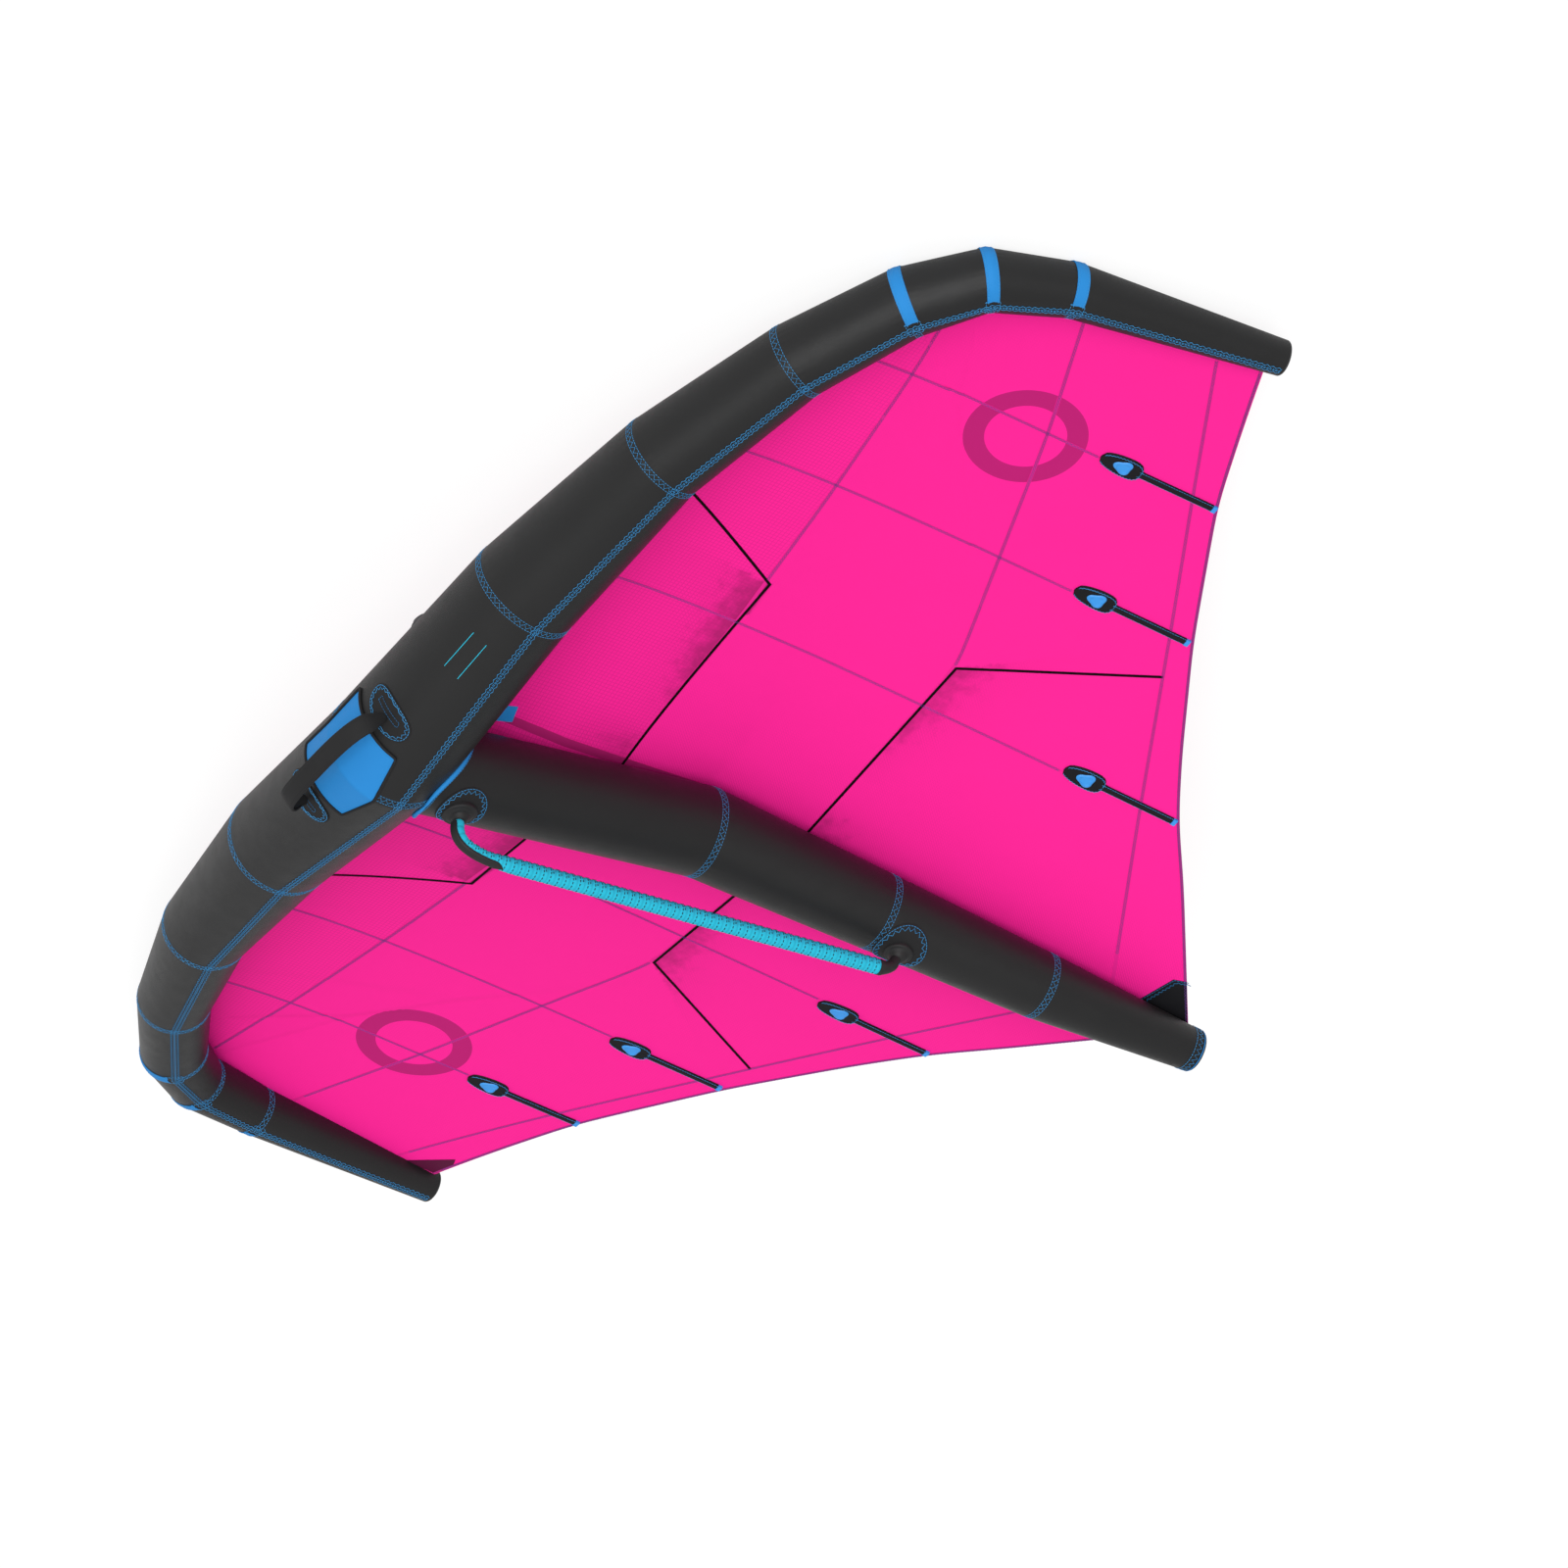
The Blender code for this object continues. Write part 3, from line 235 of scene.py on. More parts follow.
def gripFinish(name, colour, second, grooveShadeColour):
    # Ribbed grip cloth, with painted shade that darkens it in its grooves.
    made = wovenFinish(name, colour, second, 0.8, 0.15, 0.0016, 0.1)
    tree = made.node_tree
    base = tree.nodes["Principled BSDF"].inputs["Base Color"]
    # Painted shade: the groove mark mixes the cloth towards a darker tone in each groove.
    groove = addNode(tree, "ShaderNodeAttribute", attribute_name="groove").outputs["Fac"]
    grooveShaded = mixColour(tree, math2(tree, "MULTIPLY", groove, 0.3), base.links[0].from_socket, grooveShadeColour)
    tree.links.new(grooveShaded, base)
    return made


# Colour, second colour, roughness, specular, weave pitch and crinkle.
wovenLooks = {
    "tubeCloth": ((0.0092, 0.0092, 0.0095), (0.0124, 0.0125, 0.0129), 0.42, 0.3, 0.0011),
    "capCloth": ((0.026, 0.026, 0.027), (0.034, 0.034, 0.035), 0.6, 0.25, 0.0014),
    # Painted shadow of the right tip patch, seen through the canopy.
    "tipPaintedShadow": ((0.1, 0.006, 0.04), (0.08, 0.005, 0.032), 0.6, 0.1, 0.0012),
    # Painted shadow of the top strap, seen on the underside of the canopy.
    "strapPaintedShadow": ((0.42, 0.012, 0.14), (0.34, 0.01, 0.12), 0.6, 0.1, 0.0012),
    "seamPink": ((0.8, 0.017, 0.27), (0.68, 0.016, 0.24), 0.6, 0.08, 0.0012),
    "hemPurple": ((0.46, 0.022, 0.21), (0.36, 0.02, 0.18), 0.6, 0.15, 0.0012),
    "brightCloth": ((0.021, 0.235, 0.6), (0.018, 0.205, 0.54), 0.6, 0.15, 0.0012, 0.08),
    "pocketBlack": ((0.0045, 0.0045, 0.006), (0.008, 0.008, 0.01), 0.7, 0.2, 0.0018, 0.1),
    "blackWebbing": ((0.0095, 0.0095, 0.01), (0.016, 0.016, 0.017), 0.7, 0.25, 0.0018, 0.1),
    "stripeInk": ((0.0025, 0.0015, 0.0018), (0.004, 0.002, 0.0028), 0.75, 0.05, 0.0012),
}
# Colour, second colour, roughness, grain, its depth and specular.
mouldedLooks = {
    "blackRubber": ((0.011, 0.011, 0.011), (0.019, 0.019, 0.02), 0.58, 700.0, 0.0003, 0.3),
    "bladderFilm": ((0.72, 0.75, 0.78), (0.62, 0.66, 0.7), 0.32, 60.0, 0.001),
    "battenPlastic": ((0.03, 0.3, 0.78), (0.025, 0.26, 0.7), 0.42, 500.0),
    "valvePlastic": ((0.035, 0.035, 0.038), (0.055, 0.055, 0.06), 0.4, 600.0),
    "threadBlue": ((0.052, 0.29, 0.6), (0.044, 0.25, 0.52), 0.6, 900.0, 0.0001, 0.2),
    "threadDeep": ((0.02, 0.15, 0.32), (0.018, 0.11, 0.26), 0.6, 900.0, 0.0001, 0.2),
    "threadPurple": ((0.17, 0.06, 0.30), (0.13, 0.045, 0.25), 0.6, 900.0, 0.0001, 0.15),
    "markInk": ((0.01, 0.05, 0.07), (0.012, 0.06, 0.08), 0.7, 500.0, 0.0001, 0.3),
}
finishes = {name: wovenFinish(name, *look) for name, look in wovenLooks.items()}
finishes.update({name: mouldedFinish(name, *look) for name, look in mouldedLooks.items()})
finishes["canopyFront"] = canopyFinish("canopyFront", 0.008, 0.4, 0.004)
finishes["canopyRest"] = canopyFinish("canopyRest", 0.0062, 0.14, 0.0062)
finishes["canopyRing"] = canopyFinish("canopyRing", 0.0062, 0.14, 0.0062, ring=True)
# Its last colour is the painted shade in the grip's grooves.
finishes["gripCloth"] = gripFinish("gripCloth", (0.024, 0.5, 0.68), (0.021, 0.43, 0.6), (0.012, 0.16, 0.24))
print("finishes ready:", len(finishes))


# Tubes and canopy surface
class Tube:
    def __init__(self, centres, radii, flatStart):
        self.centres = np.array(centres, float)
        self.radii = np.array(radii, float)
        self.steps = unit(np.diff(self.centres, axis=0))
        self.lengths = np.linalg.norm(np.diff(self.centres, axis=0), axis=1)
        count = len(self.centres)
        before = self.steps[np.clip(np.arange(count) - 1, 0, count - 2)]
        self.after = self.steps[np.clip(np.arange(count), 0, count - 2)]
        mitre = unit(before + self.after)
        if flatStart:
            mitre[0] = (1, 0, 0)
        self.side = unit(np.cross(mitre, [0, 0, 1]))
        self.upright = np.cross(self.side, mitre)

    def ringPoint(self, i, angle, lift):
        a = np.radians(angle)[..., None]
        way = self.upright[i] * np.cos(a) + self.side[i] * np.sin(a)
        across = way - self.after[i] * (way * self.after[i]).sum(-1, keepdims=True)
        return self.centres[i] + way * ((self.radii[i] + lift) / np.linalg.norm(across, axis=-1))[..., None]

    def point(self, station, angle, lift=0.0):
        s, a, h = (np.array(x, float) for x in np.broadcast_arrays(station, angle, lift))
        i = np.clip(s.astype(int), 0, len(self.steps) - 1)
        t = (s - i)[..., None]
        return self.ringPoint(i, a, h) * (1 - t) + self.ringPoint(i + 1, a, h) * t

    def stationAt(self, place, axis, angle):
        # Station where a line along the tube at this angle reaches a place on one axis.
        p, a = (np.array(x, float) for x in np.broadcast_arrays(place, angle))
        lines = np.stack([self.point(float(i), a)[..., axis] for i in range(len(self.centres))])
        i = np.clip((lines[1:-1] <= p).sum(0), 0, len(self.steps) - 1)
        low, high = (np.take_along_axis(lines, i[None] + k, 0)[0] for k in (0, 1))
        return np.clip(i + (p - low) / (high - low), 0, len(self.steps))

    def radiusAt(self, station):
        return np.interp(station, range(len(self.radii)), self.radii)


leading = Tube(
    [(wing["halfSpan"] * a, wing["tipSweep"] * b, wing["tipRise"] * c)
     for a, b, c in zip(wing["spanShares"], wing["sweepShares"], wing["riseShares"])],
    [wing["tubeRadius"] * s for s in wing["radiusShares"]], True)
strut = Tube(
    [(0, spine["reach"] * a, spine["height"] * b) for a, b in zip(spine["alongShares"], spine["heightShares"])],
    [spine["radius"] * s for s in spine["radiusShares"]], False)
lastRing = len(leading.steps)
seamStation = float(leading.stationAt(wing["centreSeam"], 0, 90.0))


def onLeading(span, angle, lift=0.0):
    # Point of the leading edge at a signed place across the wing.
    x = np.asarray(span, float)
    p = leading.point(leading.stationAt(np.abs(x), 0, angle), angle, lift)
    p[..., 0] *= np.where(x < 0, -1, 1)
    return p


def signedLeading(station, angle, lift=0.0):
    # Stations below zero are on the right half.
    s = np.asarray(station, float)
    p = leading.point(np.abs(s), angle, lift)
    p[..., 0] *= np.where(s < 0, -1, 1)
    return p


def onStrut(along, angle, lift=0.0):
    return strut.point(strut.stationAt(along, 1, angle), angle, lift)


strutTops = strut.point(np.arange(5.0), 0.0, fit)


def attachPoint(station):
    share = np.asarray(station) / lastRing
    turn = 90 * np.interp(share, cloth["attachStations"], cloth["attachAngles"])
    return leading.point(station, -turn, fit)


noseTop = attachPoint(0.0)


def keelHeight(along):
    top = lambda y: np.interp(y, strutTops[:, 1], strutTops[:, 2])
    share = (along - noseTop[1]) / (cloth["joinsStrut"] - noseTop[1])
    ahead = noseTop[2] * (1 - share) + top(cloth["joinsStrut"]) * share
    return np.where(along < cloth["joinsStrut"], ahead, top(np.minimum(along, spine["reach"])))


def mainHeight(span, along):
    t = along / cloth["chord"]
    keel = cloth["height"] - cloth["chord"] * (cloth["fall"] * t + cloth["curve"] * t * t)
    return keel + span * (cloth["dihedral"] + cloth["dihedralGain"] * t)


def valleyHeight(span, along):
    depth = mainHeight(0, along) - keelHeight(along)
    return mainHeight(span, along) - depth * np.exp(-span / cloth["valley"])


attachStations = np.linspace(0, lastRing, 12 * lastRing + 1)
attachLine = attachPoint(attachStations)
attachDrops = valleyHeight(attachLine[:, 0], attachLine[:, 1]) - attachLine[:, 2]


def attachAlong(span):
    # Place along the wing where the canopy meets the tube.
    return np.interp(span, attachLine[:, 0], attachLine[:, 1])


def nearestDrop(span, along):
    starts, ways = attachLine[:-1, :2], np.diff(attachLine[:, :2], axis=0)
    gaps, drops = [], []
    for low in range(0, len(span), 20000):
        p = np.stack([span, along], -1)[low:low + 20000, None]
        share = np.clip(((p - starts) * ways).sum(-1) / (ways**2).sum(-1), 0, 1)
        gap = np.linalg.norm(starts + ways * share[..., None] - p, axis=-1)
        i = gap.argmin(1)
        t = share[np.arange(len(i)), i]
        gaps.append(gap.min(1))
        drops.append(attachDrops[i] * (1 - t) + attachDrops[i + 1] * t)
    return np.concatenate(gaps), np.concatenate(drops)


def canopyHeight(span, along):
    shape = np.broadcast(span, along).shape
    x, y = (np.array(np.broadcast_to(v, shape), float).ravel() for v in (span, along))
    x = np.abs(x)
    gap, drop = nearestDrop(x, y)
    inner = np.interp(x, attachLine[:, 0], attachDrops) * np.exp(-np.abs(y - attachAlong(x)) / cloth["noseDrop"])
    outer = drop * np.exp(-gap / cloth["noseDrop"])
    share = np.clip(2 * x / wing["halfSpan"], 0, 1)
    return (valleyHeight(x, y) - inner * (1 - share) - outer * share).reshape(shape)


def onCanopy(span, along, drop=0.0):
    # Point of the canopy, or one that lies drop metres below it as it flies.
    x, y = np.broadcast_arrays(np.asarray(span, float), np.asarray(along, float))
    return np.stack([x, y, canopyHeight(x, y) - drop], -1)


# Making a piece
def gridQuads(rows, columns, wrapRows=False, wrapColumns=False, start=0):
    r = np.arange(rows if wrapRows else rows - 1)[:, None]
    c = np.arange(columns if wrapColumns else columns - 1)[None, :]
    r2, c2 = (r + 1) % rows, (c + 1) % columns
    quads = np.stack(np.broadcast_arrays(r * columns + c, r * columns + c2, r2 * columns + c2, r2 * columns + c), -1)
    return (quads.reshape(-1, 4) + start).tolist()


def addThing(name, mesh):
    thing = bpy.data.objects.new(name, mesh)
    bpy.context.scene.collection.objects.link(thing)
    return thing


def makePiece(name, points, faces, finish, body="wing", slot=None, stands=(), uv=None, marks=None, smooth=50):
    mesh = bpy.data.meshes.new(name)
    mesh.from_pydata(park(points).tolist(), [], faces)
    if uv is None:
        uv = np.asarray(points, float)[:, :2]
    corner = np.zeros(len(mesh.loops), int)
    mesh.loops.foreach_get("vertex_index", corner)
    mesh.uv_layers.new(name="weave").data.foreach_set("uv", np.asarray(uv, float)[corner].ravel())
    for key, values in (marks or {}).items():
        mesh.attributes.new(key, "FLOAT", "POINT").data.foreach_set("value", np.asarray(values, float))
    build = bmesh.new()
    build.from_mesh(mesh)
    bmesh.ops.recalc_face_normals(build, faces=build.faces)
    if build.calc_volume(signed=True) < 0:
        bmesh.ops.reverse_faces(build, faces=build.faces)
    build.to_mesh(mesh)
    build.free()
    mesh.shade_smooth()
    mesh.set_sharp_from_angle(angle=math.radians(smooth))
    mesh.materials.append(finishes[finish])
    thing = addThing(name, mesh)
    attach(thing, body)
    if stands:
        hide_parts(*stands)
    return thing


def makeSlab(name, grids, finish, wrap=False, uv=None, marks=None, **rest):
    # Closed slab between an inner and an outer grid; wrap joins their first and last columns.
    inner, outer = grids
    rows, columns = inner.shape[:2]
    count = rows * columns
    faces = gridQuads(rows, columns, wrapColumns=wrap) + gridQuads(rows, columns, wrapColumns=wrap, start=count)
    edges = [[r * columns + c for c in range(columns)] for r in (0, rows - 1)]
    if wrap:
        loops = [(e, e[1:] + e[:1]) for e in edges]
    else:
        edges += [[r * columns + c for r in range(rows)] for c in (0, columns - 1)]
        loops = [(e[:-1], e[1:]) for e in edges]
    for first, second in loops:
        faces += [(a, b, b + count, a + count) for a, b in zip(first, second)]
    points = np.concatenate([inner.reshape(-1, 3), outer.reshape(-1, 3)])
    if uv is not None:
        uv = np.concatenate([np.asarray(uv).reshape(-1, 2)] * 2)
    if marks:
        marks = {k: np.concatenate([np.asarray(v).ravel()] * 2) for k, v in marks.items()}
    return makePiece(name, points, faces, finish, uv=uv, marks=marks, **rest)


def makeSkin(name, loops, finish, closed=False, **rest):
    # Skin through loops of points, with a flat cap on both ends unless it closes on itself.
    loops = np.asarray(loops, float)
    count, sides = loops.shape[:2]
    faces = gridQuads(count, sides, wrapRows=closed, wrapColumns=True)
    if not closed:
        faces += [list(range(sides)), list(range((count - 1) * sides, count * sides))]
    return makePiece(name, loops.reshape(-1, 3), faces, finish, **rest)


def circleAt(centre, side, other, radius, sides):
    a = turnSteps(sides)
    return centre + (np.outer(np.cos(a), side) + np.outer(np.sin(a), other)) * radius


def pathWays(points, closed=False):
    p = np.asarray(points, float)
    if closed:
        return unit(np.roll(p, -1, 0) - np.roll(p, 1, 0))
    steps = unit(np.diff(p, axis=0))
    return unit(np.concatenate([steps[:1], steps[:-1] + steps[1:], steps[-1:]]))


def flatWays(points):
    # Ways along a line on the canopy's plan, and the ways across it.
    way = pathWays(np.pad(points, ((0, 0), (0, 1))))[:, :2]
    return way, np.stack([-way[:, 1], way[:, 0]], -1)


# Stitching with Geometry Nodes
def stitchTree(name, sockets, sew):
    # Turns the lines of a mesh into solid thread, made by sew from their curves.
    tree = bpy.data.node_groups.new(name, "GeometryNodeTree")
    addSocket = tree.interface.new_socket
    addSocket(name="Geometry", in_out="INPUT", socket_type="NodeSocketGeometry")
    for label, kind in (*sockets, ("thread", "Material")):
        addSocket(name=label, in_out="INPUT", socket_type="NodeSocket" + kind)
    addSocket(name="Geometry", in_out="OUTPUT", socket_type="NodeSocketGeometry")
    given, end = tree.nodes.new("NodeGroupInput").outputs, tree.nodes.new("NodeGroupOutput")
    curve = addNode(tree, "GeometryNodeMeshToCurve", {"Mesh": given["Geometry"]}).outputs[0]
    solid = addNode(tree, "GeometryNodeRealizeInstances", {0: sew(tree, curve, given)}).outputs[0]
    paint = addNode(tree, "GeometryNodeSetMaterial", {"Geometry": solid, "Material": given["thread"]})
    tree.links.new(paint.outputs[0], end.inputs[0])
    return tree


def dashesOn(tree, curve, given):
    # Straight stitches: one short round thread every pitch along each line.
    even = addNode(tree, "GeometryNodeResampleCurve", {"Curve": curve})
    even.mode = "LENGTH"
    tree.links.new(given["pitch"], even.inputs["Length"])
    grain = addNode(tree, "GeometryNodeMeshCylinder", {
        "Vertices": 6, "Radius": given["radius"], "Depth": given["length"]})
    tangent = addNode(tree, "GeometryNodeInputTangent").outputs[0]
    turn = addNode(tree, "FunctionNodeAlignRotationToVector", {"Vector": tangent}, axis="Z")
    return addNode(tree, "GeometryNodeInstanceOnPoints", {
        "Points": even.outputs[0], "Instance": grain.outputs["Mesh"], "Rotation": turn.outputs[0]}).outputs[0]


def threadOn(tree, curve, given):
    # One round thread that runs along each line, as in a zigzag seam.
    sizes = {"Resolution": given["sides"], "Radius": given["radius"]}
    profile = addNode(tree, "GeometryNodeCurvePrimitiveCircle", sizes)
    return addNode(tree, "GeometryNodeCurveToMesh", {
        "Curve": curve, "Profile Curve": profile.outputs[0], "Fill Caps": True}).outputs[0]


stitchTrees = {
    "dash": stitchTree("straightStitches", (("pitch", "Float"), ("length", "Float"), ("radius", "Float")), dashesOn),
    "thread": stitchTree("runningThread", (("radius", "Float"), ("sides", "Int")), threadOn),
}


def sewLines(name, lines, kind, finish, body="wing", **sizes):
    # Runs one of the two stitch trees over lines of points and keeps the result as a plain mesh.
    points, edges = [], []
    for line in lines:
        base = len(points)
        points += park(line).tolist()
        edges += [(base + i, base + i + 1) for i in range(len(line) - 1)]
    mesh = bpy.data.meshes.new(name + "Lines")
    mesh.from_pydata(points, edges, [])
    path = addThing(name + "Lines", mesh)
    step = path.modifiers.new("sew", "NODES")
    step.node_group = stitchTrees[kind]
    wanted = {"thread": finishes[finish], "sides": 5, **sizes}
    for item in step.node_group.interface.items_tree:
        if item.item_type == "SOCKET" and item.in_out == "INPUT" and item.name in wanted:
            step[item.identifier] = wanted[item.name]
    bpy.context.view_layer.update()
    sewn = bpy.data.meshes.new_from_object(path.evaluated_get(bpy.context.evaluated_depsgraph_get()))
    bpy.data.objects.remove(path)
    sewn.name = name
    sewn.shade_smooth()
    if not sewn.materials:
        sewn.materials.append(finishes[finish])
    thing = addThing(name, sewn)
    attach(thing, body)


def sway(count, reach, phase=0):
    # Offsets that go to and fro by reach, from one point to the next.
    return reach * np.where((np.arange(count) + phase) % 2, 1, -1)


def alongCorners(corners, count):
    return np.concatenate([np.linspace(a, b, count) for a, b in zip(corners, corners[1:])])


def softened(line, passes, closed=False):
    # Rounds the corners of a line a little more with every pass.
    line = np.array(line, float)
    for _ in range(passes):
        if closed:
            line = (np.roll(line, 1, 0) + 2 * line + np.roll(line, -1, 0)) / 4
        else:
            line[1:-1] = (line[:-2] + 2 * line[1:-1] + line[2:]) / 4
    return line


# Leading edge and strut sleeves
halves = ((1, "Left"), (-1, "Right"))
sleeves = {
    "sides": 176, "rowStep": 0.022, "seatDepth": 0.0005, "seatReach": 0.006, "seamRows": 0.3,
    "puckerDepth": 0.0006, "puckerReach": 0.024, "puckers": 34, "wall": 0.0012,
    "nearSeam": (0, 0.003, 0.006, 0.01, 0.016, 0.024, 0.036), "intoTube": 0.0015,
}
sleeveAngles = turnSteps(sleeves["sides"], 360)


def sleeveRows(length, first, last, seamFirst, seamLast):
    # Rows crowd towards the seams, where the cloth is drawn in.
    near = [d for d in sleeves["nearSeam"] if d < length * sleeves["seamRows"]]
    count = max(3, int((length - 2 * near[-1]) / sleeves["rowStep"]) + 1)
    middle = np.linspace(near[-1], length - near[-1], count)
    places = np.array(near[:-1] + middle.tolist() + [length - d for d in reversed(near[:-1])])
    stations = first + (last - first) * places / length
    far = np.ones(len(places))
    return stations, np.minimum(places if seamFirst else far, length - places if seamLast else far), places


def drawnIn(gap, angles, seed):
    # How far the cloth is drawn in near a seam, with the puckers that the thread pulls.
    seat = -sleeves["seatDepth"] * np.exp(-(gap / sleeves["seatReach"]) ** 2)
    a = np.radians(angles)
    wave = np.abs(np.sin(a * sleeves["puckers"] / 2 + seed)) * (0.6 + 0.4 * np.sin(a * 5 + seed * 2))
    return seat - sleeves["puckerDepth"] * wave * np.exp(-(gap / sleeves["puckerReach"]) ** 1.5) * (gap > 0.001)


def makeSleeve(name, node, surface, rows, radius, seed):
    # One closed panel on surface(station, angle, lift), from the rows of sleeveRows.
    stations, gap, places = rows
    lift = drawnIn(gap[:, None], sleeveAngles[None], seed)
    grids = [surface(stations[:, None], sleeveAngles[None], lift - wall) for wall in (sleeves["wall"], 0.0)]
    uv = uvGrid(places, np.radians(sleeveAngles) * radius)
    makeSlab(name, grids, "tubeCloth", wrap=True, uv=uv, slot="tube_cloth", stands=(node,))


for side, word in halves:
    for i in range(lastRing):
        first = i or seamStation * side
        length = float(leading.lengths[i]) * (1 if i else 1 - first)
        makeSleeve(f"leadingPanel{word}{i + 1}", f"leading_edge_panel_{word.lower()}_{i + 1}",
                   lambda s, a, h: signedLeading(side * s, a, h),
                   sleeveRows(length, first, i + 1, True, i < lastRing - 1), float(leading.radii[i]), i * 1.7 + side)
print("leading edge sleeves made")


def strutStart(angle):
    # Station where the strut's surface leaves the leading edge tube, for each angle.
    low, high = np.zeros_like(angle), np.ones_like(angle)
    for _ in range(40):
        middle = (low + high) / 2
        p = strut.point(middle, angle)
        p[..., 0] = np.abs(p[..., 0])
        along = np.clip(((p - leading.centres[0]) @ leading.steps[0]) / leading.lengths[0], 0, 1)
        centre = leading.centres[0] + leading.steps[0] * (along * leading.lengths[0])[..., None]
        radius = leading.radii[0] * (1 - along) + leading.radii[1] * along
        inside = np.linalg.norm(p - centre, axis=-1) < radius - sleeves["intoTube"]
        low, high = np.where(inside, middle, low), np.where(inside, high, middle)
    return high


strutFrom = strutStart(sleeveAngles)
for i in range(4):
    makeSleeve(f"strutPanel{i + 1}", f"strut_panel_{i + 1}",
               lambda s, a, h: strut.point(s if i else strutFrom + (1 - strutFrom) * s, a, h),
               sleeveRows(float(strut.lengths[i]), i, i + 1, i > 0, True), strut.radii[i], i * 2.1 + 0.7)
print("strut sleeves made")

# Flat round end caps with a rolled rim, sewn into the last ring of each tube.
caps = {"depth": 0.012, "rim": 0.005, "sag": 0.0022, "sides": 96, "faceRings": (0.85, 0.7, 0.5, 0.3, 0.12)}


def makeCap(name, tube, mirror, node):
    radius = float(tube.radii[-1])
    inner = -sleeves["wall"] - fit
    rows = [(inner, -caps["depth"]), (inner, 0.0), (-0.0002, fit)]
    for turn in np.radians(np.linspace(0, 90, 7)[1:]):
        rows.append((-caps["rim"] * (1 - math.cos(turn)), fit + caps["rim"] * math.sin(turn)))
    for share in caps["faceRings"]:
        rows.append((-radius * (1 - share), fit + caps["rim"] - caps["sag"] * (1 - share**2)))
    last, angles = np.full(caps["sides"], len(tube.steps)), turnSteps(caps["sides"], 360)
    loops = flip([tube.ringPoint(last, angles, h) + tube.steps[-1] * d for h, d in rows], mirror)
    makeSkin(name, loops, "capCloth", slot="tube_cloth", stands=(node,), uv=loops.reshape(-1, 3)[:, 1:])


makeCap("tipCapLeft", leading, 1, "tip_cap_left")
makeCap("tipCapRight", leading, -1, "tip_cap_right")
makeCap("strutTailCap", strut, 1, "strut_tail_cap")

# Canopy: each seam as its reach across the wing, with shares of that reach and of the chord.
seamTables = (
    (1.42, (0, 0.3, 0.55, 0.8, 1), (0.2724, 0.2713, 0.256, 0.2347, 0.2118)),
    (1.46, (0, 0.376, 0.572, 0.788, 1), (0.5005, 0.5022, 0.4531, 0.399, 0.3357)),
    (1.496, (0, 0.286, 0.496, 0.58, 0.783, 1), (0.8996, 0.7784, 0.6916, 0.6567, 0.571, 0.4809)),
    (1.511, (0, 0.212, 0.293, 0.39, 0.49, 0.556, 0.77, 0.905, 1),
     (1, 0.8745, 0.8226, 0.7724, 0.7249, 0.6932, 0.6037, 0.5611, 0.5322)),
)
frontReach = float(attachPoint(cloth["ends"][0])[0])


def frontCurve(u):
    used = attachStations < cloth["ends"][0] + 1 / 12
    station = np.interp(frontReach * np.asarray(u), attachLine[used, 0], attachStations[used])
    return attachPoint(station)[..., :2]


def seamCurve(reach, spans, alongs):
    fine = np.linspace(0, 1, 201)
    smooth = softened(np.interp(fine, spans, alongs), 60)
    return lambda u: np.stack([reach * np.asarray(u), cloth["chord"] * np.interp(u, fine, smooth)], -1)


canopyCurves = (frontCurve, *(seamCurve(*t) for t in seamTables))
canopyRows = {
    "Front": {"finish": "canopyFront", "flat": (1.44, 0.52), "area": 0.51},
    "Middle": {"finish": "canopyRing", "flat": (1.5, 0.56), "area": 0.543},
    "Rear": {"finish": "canopyRing", "flat": (1.52, 1.03), "area": 0.657},
    "Trailing": {"finish": "canopyRest", "flat": (0.2, 1.78), "area": 0.134},
}
# Sprayed shading: the level of its stripe, whether it lies ahead, where it starts, its strength and slant.
sprays = ((0.499, True, 0.12, 1.0, 0.12), (0.918, False, 0.2, 0.8, 0.85))


def printShade(x, y):
    # Shading beside the two stripes, strongest at their corners and beside the strut.
    x = np.abs(x)
    total = np.zeros(np.shape(x))
    for level, ahead, start, most, slant in sprays:
        away = (level - y) if ahead else (y - level)
        past = np.maximum(away, 0)
        beside = (away > -0.004) & (x < 0.549 + away * slant)
        along = most * np.clip((x - start) / 0.2, 0, 1) ** 0.6
        depth = np.exp(-(past / (0.035 + 0.06 * np.clip((x - start) / 0.4, 0, 1))) ** 1.4)
        near = np.exp(-(np.maximum(x - 0.07, 0) / 0.05) ** 2 - (past / 0.1) ** 2)
        total = np.maximum(total, beside * np.maximum(along * depth, 0.6 * near))
    return np.clip(total, 0, 1)


